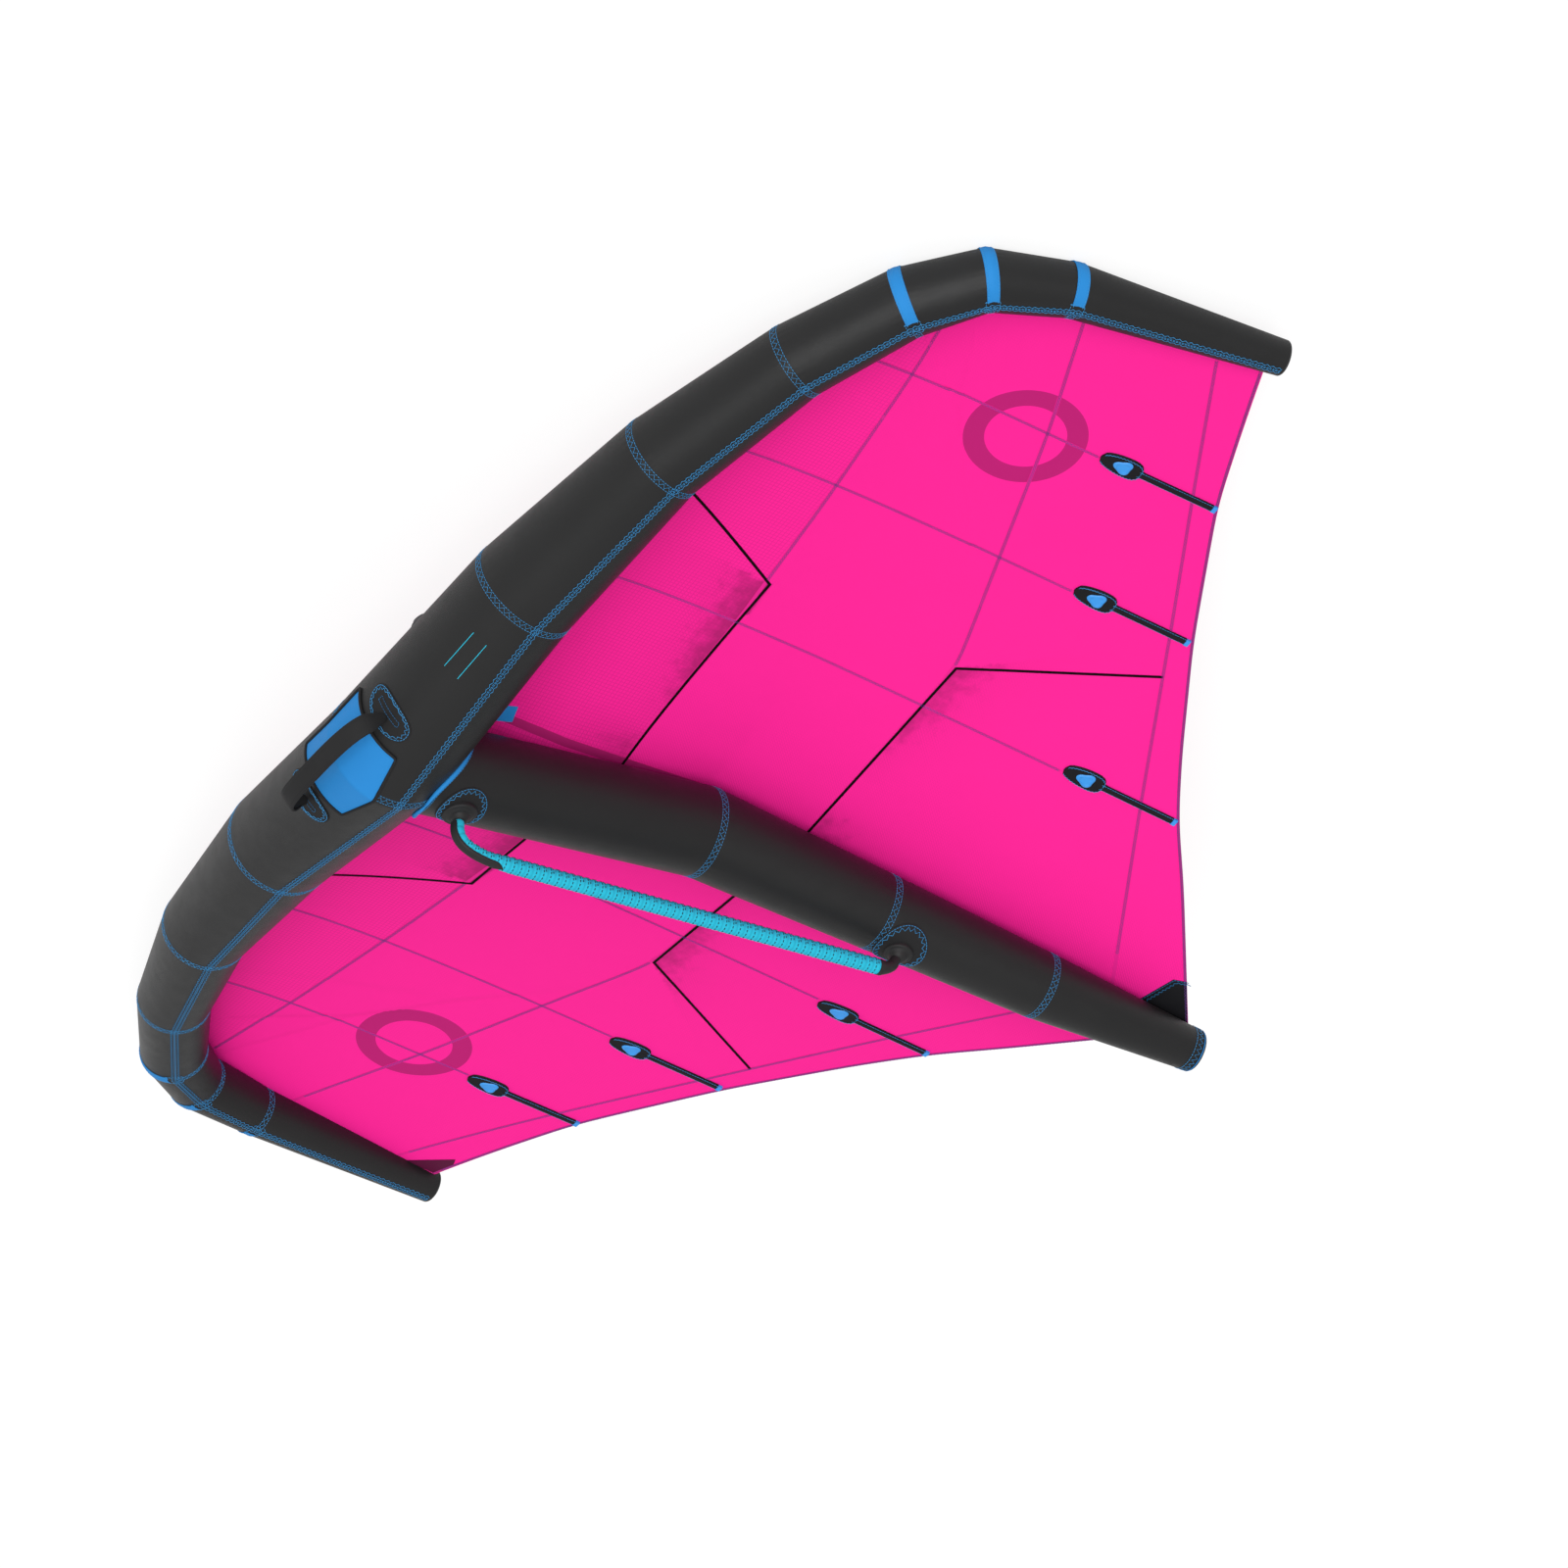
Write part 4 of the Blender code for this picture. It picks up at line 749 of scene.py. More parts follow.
def makeCanopyPanel(index, word, half, facts, side):
    first, last = canopyCurves[index], canopyCurves[index + 1]
    start, end = cloth["ends"][index:index + 2]
    rows = max(8, int(float(np.linalg.norm(last(0.3) - first(0.3))) / cloth["grid"]))
    u, v = np.linspace(0, 1, int(1.5 / cloth["grid"]) + 1), np.linspace(0, 1, rows + 1)
    edge = attachPoint(start + (end - start) * v)[:, :2] + [cloth["intoTube"], 0]
    corner = np.outer(1 - v, first(1.0)) + np.outer(v, last(1.0))
    place = first(u)[None] * (1 - v)[:, None, None] + last(u)[None] * v[:, None, None]
    x, y = np.moveaxis(place + (edge - corner)[:, None] * (u**3)[None, :, None], -1, 0)
    inner = np.stack([x * side, y, canopyHeight(x, y)], -1)
    name = f"canopy{word}{half}"
    grids, node = (inner, inner + [0, 0, cloth["thickness"]]), f"canopy_{word}_{half}".lower()
    thing = makeSlab(name, grids, facts["finish"], uv=inner[..., :2], marks={"printShade": printShade(x, y)},
                     slot="canopy_cloth", stands=(node,), smooth=70)
    a, b, c, d = inner[:-1, :-1], inner[:-1, 1:], inner[1:, 1:], inner[1:, :-1]
    area = float(np.linalg.norm(np.cross(c - a, d - b), axis=-1).sum()) / 2
    print(name, "area", round(area, 4), "width", round(float(x.max()), 3), "depth", round(float(np.ptp(y)), 3))
    return thing


for index, (word, facts) in enumerate(canopyRows.items()):
    for side, half in halves:
        thing = makeCanopyPanel(index, word, half, facts, side)
print("canopy made")


def canopyStrip(name, line, width, finish, lifts, side, **rest):
    # Flat tape along a line on the canopy; lifts say how far it stands out below and above the cloth.
    run = runOf(line)
    want = np.linspace(0, run[-1], max(2, int(run[-1] / trims["step"])) + 1)
    want = np.unique(np.concatenate([want, run]))
    p = pointsAt(line, want)
    way, across = flatWays(p)
    turn = np.abs((way[:-1] * unit(np.diff(p, axis=0))).sum(-1))
    stretch = 1 / np.clip(np.append(turn, 1.0), 0.7, 1)
    half = width / 2 * np.linspace(-1, 1, 4)
    spots = p[:, None] + across[:, None] * (half[None] * stretch[:, None])[..., None]
    low = onCanopy(spots[..., 0], spots[..., 1])
    grids = [flip(low + [0, 0, high], side) for high in (-lifts[0], cloth["thickness"] + lifts[1])]
    makeSlab(name, grids, finish, uv=uvGrid(want, half), **rest)


# Black stripes, seam tapes and the trailing hem, the same on both halves.
stripes = {
    "front": ((0.7, 0.222), (0.549, 0.497), (0.0, 0.499)),
    "rear": ((0.742, 1.267), (0.549, 0.92), (0.0, 0.917)),
    "width": 0.0056, "lifts": (0.0011, 0.0011),
}
trims = {
    "seamWidth": 0.0075, "seamLifts": (0.0005, 0.0005), "hemWidth": 0.006, "hemLifts": (0.0006, 0.0006),
    "hemInset": 0.003, "chordWidth": 0.006375, "chordSeams": (0.433, 0.834, 1.148),
    "chordEnds": (1.238, 0.998, 0.848), "fromTube": 0.002, "step": 0.012,
}


def hemLine(end, count):
    return canopyCurves[4](np.linspace(0.0, end, count)) - [0, trims["hemInset"]]


def chordLine(index, count):
    x = trims["chordSeams"][index]
    low = float(attachAlong(x)) + trims["fromTube"]
    return np.stack([np.full(count, x), np.linspace(low, trims["chordEnds"][index], count)], -1)


for side, word in halves:
    for place in ("front", "rear"):
        canopyStrip(f"{place}Stripe{word}", stripes[place], stripes["width"], "stripeInk", stripes["lifts"], side)
    for index in (1, 2, 3):
        line = canopyCurves[index](np.linspace(0.0, 1.0, 140))
        canopyStrip(f"seamTape{word}{index}", line, trims["seamWidth"], "seamPink", trims["seamLifts"], side)
    canopyStrip(f"trailingHem{word}", hemLine(1.0, 170), trims["hemWidth"], "hemPurple", trims["hemLifts"], side)
    for index in range(3):
        name, line = f"chordTape{word}{index + 1}", chordLine(index, 60)
        canopyStrip(name, line, trims["chordWidth"], "seamPink", trims["seamLifts"], side)
print("trims made")

# Seams of the tubes
seams = {
    "rowGap": 0.0064, "tooth": 0.0125, "ringTooth": 0.0128, "ringReach": 0.0038, "ringLift": -0.0002,
    "closingReach": 0.0016, "closingRow": 0.0058, "closingPair": 0.0012, "closingStretch": 1.1, "lift": 0.0007,
    "step": 0.004, "tailRow": 0.0195, "tailTeeth": (0.005, 0.0145), "blueRings": (4, 5, 6), "clear": 3,
    "dashes": {"pitch": 0.0062, "length": 0.0043, "radius": 0.0006},
}
blueDashes, blueZigzags = [], []


def ringSpot(tube, ring, offset, angle, lift):
    # Point beside a ring seam, offset metres along the tube from it.
    before = tube.lengths[max(ring - 1, 0)]
    after = tube.lengths[min(ring, len(tube.steps) - 1)]
    station = ring + np.where(offset > 0, offset / after, offset / before)
    return tube.point(np.clip(station, 0, len(tube.steps)), angle, lift)


def sewRing(tube, ring, side, low, high, spot=None):
    # Two dashed rows with a zigzag between them, round one ring.
    spot = spot or (lambda offset, angle: ringSpot(tube, ring, offset, angle, seams["ringLift"]))
    fine = np.linspace(low, high, 120)
    blueDashes.extend(flip(spot(np.full(120, d), fine), side) for d in (-seams["rowGap"], seams["rowGap"]))
    teeth = max(4, int(math.radians(high - low) * tube.radii[ring] / seams["ringTooth"]) * 2) + 1
    blueZigzags.append(flip(spot(sway(teeth, seams["ringReach"]), np.linspace(low, high, teeth)), side))


bands = {
    "from": -40, "width": 0.024, "lift": 0.0002, "thickness": 0.0009, "rowAt": 0.0095, "rowLift": 0.0013,
    "stopsAt": 0.016, "tabHalf": 0.014, "tabOverlap": 2, "tabLift": 0.0006,
    "rim": {"width": 0.0032, "lift": 0.0003, "thickness": 0.0008},
}
for side, _ in halves:
    for ring in (1, 2, 3):
        middle = wing["closingSeam"][ring]
        sewRing(leading, ring, side, middle + seams["clear"] - 360, middle + seams["clear"])
    for ring in seams["blueRings"]:  # the bands below cover the rest of these rings
        sewRing(leading, ring, side, wing["closingSeam"][ring] + seams["clear"], 360 + bands["from"])
for ring in (1, 2, 3):
    sewRing(strut, ring, 1, 20, 340)
sewRing(leading, 0, 1, -60, 238, lambda offset, angle: signedLeading(
    seamStation + offset / leading.lengths[0], angle, seams["ringLift"]))

# Closing seam: centre stitches with a mirrored zigzag on both sides, along the whole underside.
closingRun = runOf(leading.centres)
closingEnd = closingRun[-1] - seams["step"]
closingTeeth = int(round(closingEnd / seams["tooth"] * 2)) + 1


def closingSpot(along, across):
    s = np.interp(along, closingRun, range(lastRing + 1))
    turn = np.degrees(np.asarray(across) * seams["closingStretch"] / leading.radiusAt(s))
    return leading.point(s, np.interp(s, range(lastRing + 1), wing["closingSeam"]) + turn, seams["lift"])


for side, _ in halves:
    for across in (seams["closingPair"], -seams["closingPair"]):
        blueDashes.append(flip(closingSpot(np.arange(0.0, closingEnd, seams["step"]), across), side))
    for row, phase in ((-seams["closingRow"], 0), (seams["closingRow"], 1)):
        across = row + sway(closingTeeth, seams["closingReach"], phase)
        blueZigzags.append(flip(closingSpot(np.linspace(0.0, closingEnd, closingTeeth), across), side))
blueDashes.append(strut.point(4 - seams["tailRow"] / strut.lengths[3], np.linspace(10, 350, 90), seams["lift"]))
tailSway = np.where(np.arange(47) % 2, *seams["tailTeeth"])
blueZigzags.append(strut.point(4 - tailSway / strut.lengths[3], np.linspace(10, 350, 47), seams["lift"]))


def makeBand(name, tube, ring, side, low, high, width, lift, thickness):
    offsets, angles = np.linspace(-width / 2, width / 2, 9), np.linspace(low, high, 90)
    grids = [flip([ringSpot(tube, ring, np.full(90, d), angles, h) for d in offsets], side)
             for h in (lift, lift + thickness)]
    makeSlab(name, grids, "brightCloth", uv=uvGrid(offsets, np.radians(angles) * tube.radii[ring]), slot="bright_cloth")


for side, word in halves:
    for ring in seams["blueRings"]:
        middle, radius = wing["closingSeam"][ring], leading.radii[ring]
        top = middle - math.degrees(bands["stopsAt"] / radius)
        makeBand(f"tubeBand{word}{ring - 3}", leading, ring, side, bands["from"], top,
                 *(bands[k] for k in ("width", "lift", "thickness")))
        fine = np.linspace(bands["from"], top, 80)
        for d in (-bands["rowAt"], bands["rowAt"]):
            blueDashes.append(flip(ringSpot(leading, ring, np.full(80, d), fine, bands["rowLift"]), side))
        # stitches round a small tab that closes the band over the long seam; the tab itself is not drawn
        wide, low, high = bands["tabHalf"], top - bands["tabOverlap"], middle + math.degrees(bands["tabHalf"] / radius)
        tab = alongCorners([(-wide, low), (wide, low), (wide, high), (-wide, high), (-wide, low)], 8)
        blueDashes.append(flip(ringSpot(leading, ring, *tab.T, bands["tabLift"]), side))

# Bright rim between the last strut panel and its end cap.
makeBand("strutTailRim", strut, 4, 1, 0, 360, **bands["rim"])

sewLines("seamStitches", blueDashes, "dash", "threadBlue", **seams["dashes"])
sewLines("seamZigzags", blueZigzags, "thread", "threadBlue", radius=seams["dashes"]["radius"])
print("tube seams sewn")

# Stitching on the canopy; the stripes cover the inner part of two seams.
canopySeams = {
    "radius": 0.00055, "link": 0.0075, "reach": 0.0025, "innerShare": 0.25, "lift": 0.0009, "ends": 0.004,
    "begins": {1: 0.39, 2: 0.378, 3: 0.06}, "stops": 0.985,
}


def chainAlong(line, side):
    # Two mirrored zigzags that look like a chain of small hexagons.
    f = canopySeams
    length = runOf(line)[-1]
    count = int(length / f["link"] * 2)
    p = pointsAt(line, np.linspace(f["ends"], length - f["ends"], count))
    offset = flatWays(p)[1] * np.where(np.arange(count) % 2, f["reach"], f["reach"] * f["innerShare"])[:, None]
    return [flip(onCanopy(*(p + offset * sign).T, f["lift"]), side) for sign in (1, -1)]


for side, word in halves:
    chains = []
    for index, begin in canopySeams["begins"].items():
        chains += chainAlong(canopyCurves[index](np.linspace(begin, canopySeams["stops"], 200)), side)
    chains += chainAlong(hemLine(canopySeams["stops"], 200), side)
    for index in range(3):
        chains += chainAlong(chordLine(index, 2), side)
    sewLines(f"canopyChains{word}", chains, "thread", "threadPurple", radius=canopySeams["radius"], sides=4)
print("canopy seams sewn")

# Dark corner patches at the tail and tips; the tip ones lie on top, and under the right one a painted shadow sheet
# stands for its shade through the cloth.
cornerPatches = {
    "tail": ((0.004, 1.700), (0.097, 1.731), (0.106, 1.757), (0.004, 1.826)),
    "tip": ((1.500, 0.905), (1.434, 0.984), (1.452, 0.990), (1.504, 0.972)),
    "lift": 0.0009, "tipSunk": -0.0001, "shadowSunk": -0.0003, "inwards": (-0.35, 0.94), "rowStep": 0.0045,
    "fromStrut": 0.02, "rows": ((0.0022, 0.0), (0.0105, 0.0022)), "rowLift": 0.0012,
    "dashes": {"pitch": 0.006, "length": 0.0045, "radius": 0.0008},
}


def makeCornerPatch(name, place, side, finish="pocketBlack", down=0.0009, up=0.0009, slot="black_webbing"):
    a, b, c, d = (np.array(p) for p in cornerPatches[place])
    u, v = (share[..., None] for share in np.meshgrid(np.linspace(0, 1, 10), np.linspace(0, 1, 14)))
    spots = (a * (1 - u) + b * u) * (1 - v) + (d * (1 - u) + c * u) * v
    low = onCanopy(spots[..., 0], spots[..., 1])
    grids = [flip(low + [0, 0, high], side) for high in (-down, cloth["thickness"] + up)]
    makeSlab(name, grids, finish, uv=flip(low, side)[..., :2], slot=slot)


patchEdges, deepLines = [], []
for side, word in halves:
    makeCornerPatch(f"tailPatch{word}", "tail", side)
    makeCornerPatch(f"tipPatch{word}", "tip", side, down=cornerPatches["tipSunk"])
    corner = np.array(cornerPatches["tail"][:3])
    edge = np.concatenate([
        np.linspace(p, q, max(3, int(np.linalg.norm(q - p) / cornerPatches["rowStep"])), endpoint=False)
        for p, q in zip(corner, corner[1:])] + [corner[2:]])
    for inset, reach in cornerPatches["rows"]:
        path = edge + np.array(cornerPatches["inwards"]) * (inset + sway(len(edge), reach))[:, None]
        path = path[path[:, 0] > cornerPatches["fromStrut"]]
        (deepLines if reach else patchEdges).append(flip(onCanopy(*path.T, cornerPatches["rowLift"]), side))
# Painted shadow: a dark sheet under the right tip patch, where only its shade falls.
makeCornerPatch("tipShadowRight", "tip", -1, "tipPaintedShadow", up=cornerPatches["shadowSunk"], slot="canopy_cloth")
sewLines("patchZigzags", deepLines, "thread", "threadDeep", radius=cornerPatches["dashes"]["radius"])
sewLines("patchEdgeStitches", patchEdges, "dash", "threadDeep", **cornerPatches["dashes"])

# Strap on the top of the canopy, a painted shadow strip under the cloth where the strap keeps light from coming
# through, and a small bright tab at the tube.
topStrap = {
    "startX": 0.053, "endX": 0.021, "fromTube": 0.06, "end": 0.67, "width": 0.017, "lifts": (-0.0003, 0.0012),
    "shadowLifts": (0.0008, -0.0002), "tab": ((0.05, 0.204), (0.058, 0.238)), "tabWidth": 0.034,
    "tabLifts": (0.0012, 0.0014),
}
for side, word in halves:
    low = float(attachAlong(topStrap["startX"])) + topStrap["fromTube"]
    line = np.linspace((topStrap["startX"], low), (topStrap["endX"], topStrap["end"]), 120)
    # strapShadow is painted shadow: a dark strip under the cloth below the strap.
    for name, finish, lifts, slot in (("topStrap", "blackWebbing", "lifts", "black_webbing"),
                                      ("strapShadow", "strapPaintedShadow", "shadowLifts", "canopy_cloth")):
        canopyStrip(name + word, line, topStrap["width"], finish, topStrap[lifts], side, slot=slot)
    canopyStrip(f"strapTab{word}", topStrap["tab"], topStrap["tabWidth"], "brightCloth", topStrap["tabLifts"], side,
                slot="bright_cloth")
print("corner patches and top straps made")

# Pads that follow a tube
patchRows, patchZigzags = [], []
# Rings of a pad: the share of its half sizes and the share of its thickness.
padRings = ((0.04, 0), (0.5, 0), (0.98, 0), (1.0, 0.35), (1.0, 0.7), (0.985, 0.92),
            (0.96, 1.0), (0.85, 1.0), (0.7, 1.0), (0.5, 1.0), (0.28, 1.0), (0.04, 1.0))


def makePad(name, node, surface, middle, half, facts):
    # Rounded pad on surface(place, angle, lift), with a row of stitches and a zigzag inside its edge.
    def spot(turns, share, lift):
        c, s = (powered(v, 2 / facts["power"]) for v in (np.cos(turns), np.sin(turns)))
        return surface(middle[0] + half[0] * share * c, middle[1] + half[1] * share * s, lift)

    high, low = facts["thickness"], facts["sunk"]
    loops = [spot(turnSteps(72), share, low + high * lift) for share, lift in padRings]
    makeSkin(name, loops, "blackWebbing", slot="black_webbing", stands=(node,))
    patchRows.append(spot(np.linspace(0, math.tau, 121), facts["row"], high))
    teeth = 2 * facts["teeth"] + 1
    patchZigzags.append(spot(np.linspace(0, math.tau, teeth), facts["zigzag"] + sway(teeth, facts["sway"]), high))


mounts = {
    "front": (0.17, 0.0515), "rear": (1.157, 0.0567), "angle": 176.0, "longShare": 0.92, "roundShare": 1.12,
    "domeRadius": 0.02, "thickness": 0.0024, "sunk": -0.0004, "power": 2.0, "row": 0.94,
    "zigzag": 0.83, "sway": 0.06, "teeth": 22, "dashes": {"pitch": 0.0062, "length": 0.0046, "radius": 0.0007},
}
for word in ("front", "rear"):
    along, radius = mounts[word]
    tubeRadius = float(strut.radiusAt(float(strut.stationAt(along, 1, 180.0))))
    half = (radius * mounts["longShare"], mounts["roundShare"] * math.degrees(radius / tubeRadius))
    makePad(f"{word}MountPatch", f"{word}_mount_patch", onStrut, (along, mounts["angle"]), half, mounts)

anchors = {
    "span": 0.15, "half": (0.032, 29.0), "angle": 132.0, "thickness": 0.0024, "sunk": -0.0003, "power": 2.3,
    "row": 0.93, "zigzag": 0.83, "sway": 0.045, "teeth": 19,
    "box": ((-0.004, -15), (0.006, -15), (0.006, 15), (-0.004, 15), (-0.004, -15)), "boxShift": 0.004,
    "dashes": {"pitch": 0.0055, "length": 0.004, "radius": 0.0005},
}
boxRows = []
for side, word in ((1, "left"), (-1, "right")):
    middle = (anchors["span"] * side, anchors["angle"])
    makePad(f"anchorPatch{word.title()}", f"handle_anchor_patch_{word}", onLeading, middle, anchors["half"], anchors)
    box = alongCorners(anchors["box"], 14) + [middle[0] + side * anchors["boxShift"], middle[1]]
    boxRows.append(onLeading(*box.T, anchors["thickness"]))

# Window and its hem
window = {
    "half": 0.097, "top": 87.0, "corner": 164.0, "foot": 172.0, "footShare": 0.06, "sunk": -0.0004,
    "thickness": 0.0014, "hemRadius": 0.0029, "hemOffset": 0.004, "hemFoot": 0.004, "hemSteps": 360,
}
windowTurns = [window[k] for k in ("top", "corner", "foot")]
angles = np.concatenate([np.linspace(*windowTurns[:2], 44), np.linspace(*windowTurns[1:], 8)[1:]])[:, None]
places = window["half"] * np.interp(angles, windowTurns, (1, 1, window["footShare"])) * np.linspace(-1, 1, 41)
grids = [onLeading(places, angles, h) for h in (window["sunk"], window["thickness"])]
uv = np.stack(np.broadcast_arrays(places, np.radians(angles) * wing["tubeRadius"]), -1)
pane = makeSlab("windowPanel", grids, "brightCloth", uv=uv, slot="bright_cloth", stands=("window_panel",))


def beadLoops(path, outward, radius, sides=12, closed=True):
    # Rings of a round bead along a path, the first point of each towards outward.
    loops = []
    outward, radii = np.broadcast_to(outward, path.shape), np.broadcast_to(radius, len(path))
    for p, way, out, r in zip(path, pathWays(path, closed), outward, radii):
        out = unit(out - way * (out @ way))
        loops.append(circleAt(p, out, np.cross(way, out), r, sides))
    return loops


turn = math.degrees(window["hemOffset"] / wing["tubeRadius"])
low, corner, high = window["top"] - turn, window["corner"] + turn / 2, window["foot"] + turn
edge, foot = window["half"] + window["hemOffset"], window["hemFoot"]
outline = [(edge, low), (edge, corner), (foot, high), (-foot, high), (-edge, corner), (-edge, low), (edge, low)]
scale = math.radians(1) * wing["tubeRadius"]
flatLine = np.array(outline) * [1, scale]
flatLine = pointsAt(flatLine, turnSteps(window["hemSteps"], runOf(flatLine)[-1]))
hemSpans, hemAngles = (softened(flatLine, 10, closed=True) / [1, scale]).T
hemPath, outer, inner = (onLeading(hemSpans, hemAngles, h) for h in (window["hemRadius"] * 0.8, 0.02, 0.0))
makeSkin("windowHem", beadLoops(hemPath, outer - inner, window["hemRadius"]), "blackWebbing", closed=True,
         slot="black_webbing", stands=("window_hem",),
         uv=uvGrid(np.arange(window["hemSteps"]) * 0.0018, np.arange(12) * 0.0018).reshape(-1, 2))

# Short handle
shortHandle = {
    "halfSpan": 0.146, "height": 0.086, "width": 0.04, "thickness": 0.009, "foot": 0.013, "angle": 133.0,
    "squareShare": 0.62, "wideningShare": 0.5, "arcSteps": 44, "fill": 0.9, "onPatch": 0.0025, "clear": 0.0006,
    "footTurns": (84, 74, 64, 54, 44, 33, 22, 10), "channel": 0.18, "channelAt": 0.8, "channelWidth": 0.07,
    "edgeSteps": 9, "dashes": {"pitch": 0.005, "length": 0.0036, "radius": 0.0006},
}
sideways = np.array([1.0, 0, 0])


def easeIn(share):
    return share * share * (3 - 2 * share)


def makeShortHandle():
    f = shortHandle
    turn, foot, half = math.radians(f["angle"]), f["foot"], f["thickness"] / 2
    out = np.array([0, -math.sin(turn), math.cos(turn)])
    across = np.array([0, math.cos(turn), math.sin(turn)])
    base = onLeading(f["halfSpan"] - half, f["angle"], 2 * fit + f["onPatch"]) + out * (f["clear"] + foot)
    base[0] = 0
    stations = [(f["halfSpan"], -foot * math.sin(t), foot * math.cos(t)) for t in np.radians(f["footTurns"])]
    for i in range(1, f["arcSteps"] + 1):
        t = math.pi / 2 * i / f["arcSteps"]
        rise = (f["height"] - foot) * math.sin(t) ** f["squareShare"]
        share = easeIn(min(rise / ((f["height"] - foot) * f["wideningShare"]), 1))
        span = f["halfSpan"] * math.cos(t) ** f["squareShare"]
        stations.append((span, rise, foot + (f["width"] / 2 - foot) * share))
    stations += [(-s, r, w) for s, r, w in reversed(stations[:-1])]
    line = np.array([(s, r, 0) for s, r, _ in stations])
    a = turnSteps(40)
    c, s = powered(np.cos(a), 0.5), powered(np.sin(a), 0.6)
    pad = 1 - f["channel"] * np.exp(-((np.abs(c) - f["channelAt"]) / f["channelWidth"]) ** 2)  # sewn beside each edge
    loops, edges = [], ([], [])
    for way, (span, rise, width) in zip(pathWays(line), stations):
        face = sideways * way[1] - out * way[0]
        centre = base + sideways * span + out * rise
        loops.append(centre + np.outer(width * c, across) + np.outer(half * s * pad, face))
        for edge, sign in zip(edges, (1, -1)):
            edge.append(centre + across * width * f["channelAt"] * sign - face * half * 0.86)
    uv = [(run, w) for run, (_, _, width) in zip(runOf(line), stations) for w in width * c]
    thing = makeSkin("shortHandle", loops, "blackWebbing", body="short_handle", slot="black_webbing",
                     stands=("short_handle",), uv=uv)
    rows = [np.array(edge[f["edgeSteps"]:-f["edgeSteps"]]) for edge in edges]
    sewLines("shortHandleStitches", rows, "dash", "stripeInk", body="short_handle", **f["dashes"])


makeShortHandle()
print("window and short handle made")

# Long handle, its domes and strap
longHandle = {
    "along": (0.001, 0.007, 0.022, 0.046, 0.074, 0.11, 0.516, 0.954, 0.977, 0.988),
    "drop": (0.76, 0.86, 0.935, 0.972, 0.979, 0.955, 0.434, -0.128, -0.19, -0.26),
    "depth": 0.145, "neck": 0.0105, "radius": 0.0115, "grip": 0.0155, "fill": 0.85, "sides": 32, "step": 0.0016,
    "groovePitch": 0.0165, "grooveDepth": 0.0005, "grooveWidth": 0.002, "swell": 0.0004,
}


def mountPoint(along):
    return onStrut(along, 180.0, 2 * fit + 0.0025)


def roundedPath(points, values, spacing, passes):
    # Fine path along straight runs with softened corners, and the values carried with it.
    run = runOf(points)
    want = np.linspace(0, run[-1], max(8, int(run[-1] / spacing)) + 1)
    return softened(pointsAt(points, want), passes), softened(np.interp(want, run, values), passes), want


front, rear = mountPoint(mounts["front"][0]), mountPoint(mounts["rear"][0])
mountGap = mounts["rear"][0] - mounts["front"][0]
line = [np.array([0, mounts["front"][0] + mountGap * a, -longHandle["depth"] * d])
        for a, d in zip(longHandle["along"], longHandle["drop"])]
first, last = (dome + unit(near - dome) * (mounts["domeRadius"] + fit)
               for dome, near in ((front, line[0]), (rear, line[-1])))
handlePoints = np.array([first, *line, last])
coverRadii = [longHandle["neck"]] + [longHandle["radius"]] * 5 + [longHandle["grip"]] * 3
coverPath, coverRadius, coverRun = roundedPath(handlePoints[:9], coverRadii, longHandle["step"], 60)
groovePitch = longHandle["groovePitch"]
groove = np.abs((coverRun + groovePitch / 2) % groovePitch - groovePitch / 2)
inGroove = np.exp(-(groove / longHandle["grooveWidth"]) ** 2)
coverRadius = coverRadius - longHandle["grooveDepth"] * inGroove
coverRadius = coverRadius + longHandle["swell"] * np.sin(math.pi * groove / groovePitch)
cover = makeSkin(
    "gripCover", beadLoops(coverPath, sideways, coverRadius, longHandle["sides"], False), "gripCloth",
    body="long_handle", slot="grip_cloth", stands=("long_handle_cover",),
    uv=uvGrid(coverRun, np.arange(longHandle["sides"]) * 0.003).reshape(-1, 2),
    marks={"groove": np.repeat(inGroove, longHandle["sides"])})

# Short dark marks round the grip, two rows beside each groove.
gripMarks = {
    "from": 0.055, "stop": 0.012, "rows": ((0.0, 150), (0.0052, 60)), "facing": (0.8, 0.6), "lift": 0.0001,
    "dashes": {"pitch": 0.0072, "length": 0.0044, "radius": 0.001},
}
coverWays = pathWays(coverPath)
markLines = []
for place in np.arange(gripMarks["from"], coverRun[-1] - gripMarks["stop"], groovePitch):
    for shift, reach in gripMarks["rows"]:
        i = int(np.searchsorted(coverRun, place + shift))
        t = np.radians(np.linspace(-reach, reach, 60))
        facing = unit(-np.cross(coverWays[i], sideways) * gripMarks["facing"][0] + sideways * gripMarks["facing"][1])
        ring = np.outer(np.cos(t), facing) + np.outer(np.sin(t), np.cross(coverWays[i], facing))
        markLines.append(coverPath[i] + ring * (coverRadius[i] + gripMarks["lift"]))
sewLines("gripMarks", markLines, "dash", "markInk", body="long_handle", **gripMarks["dashes"])

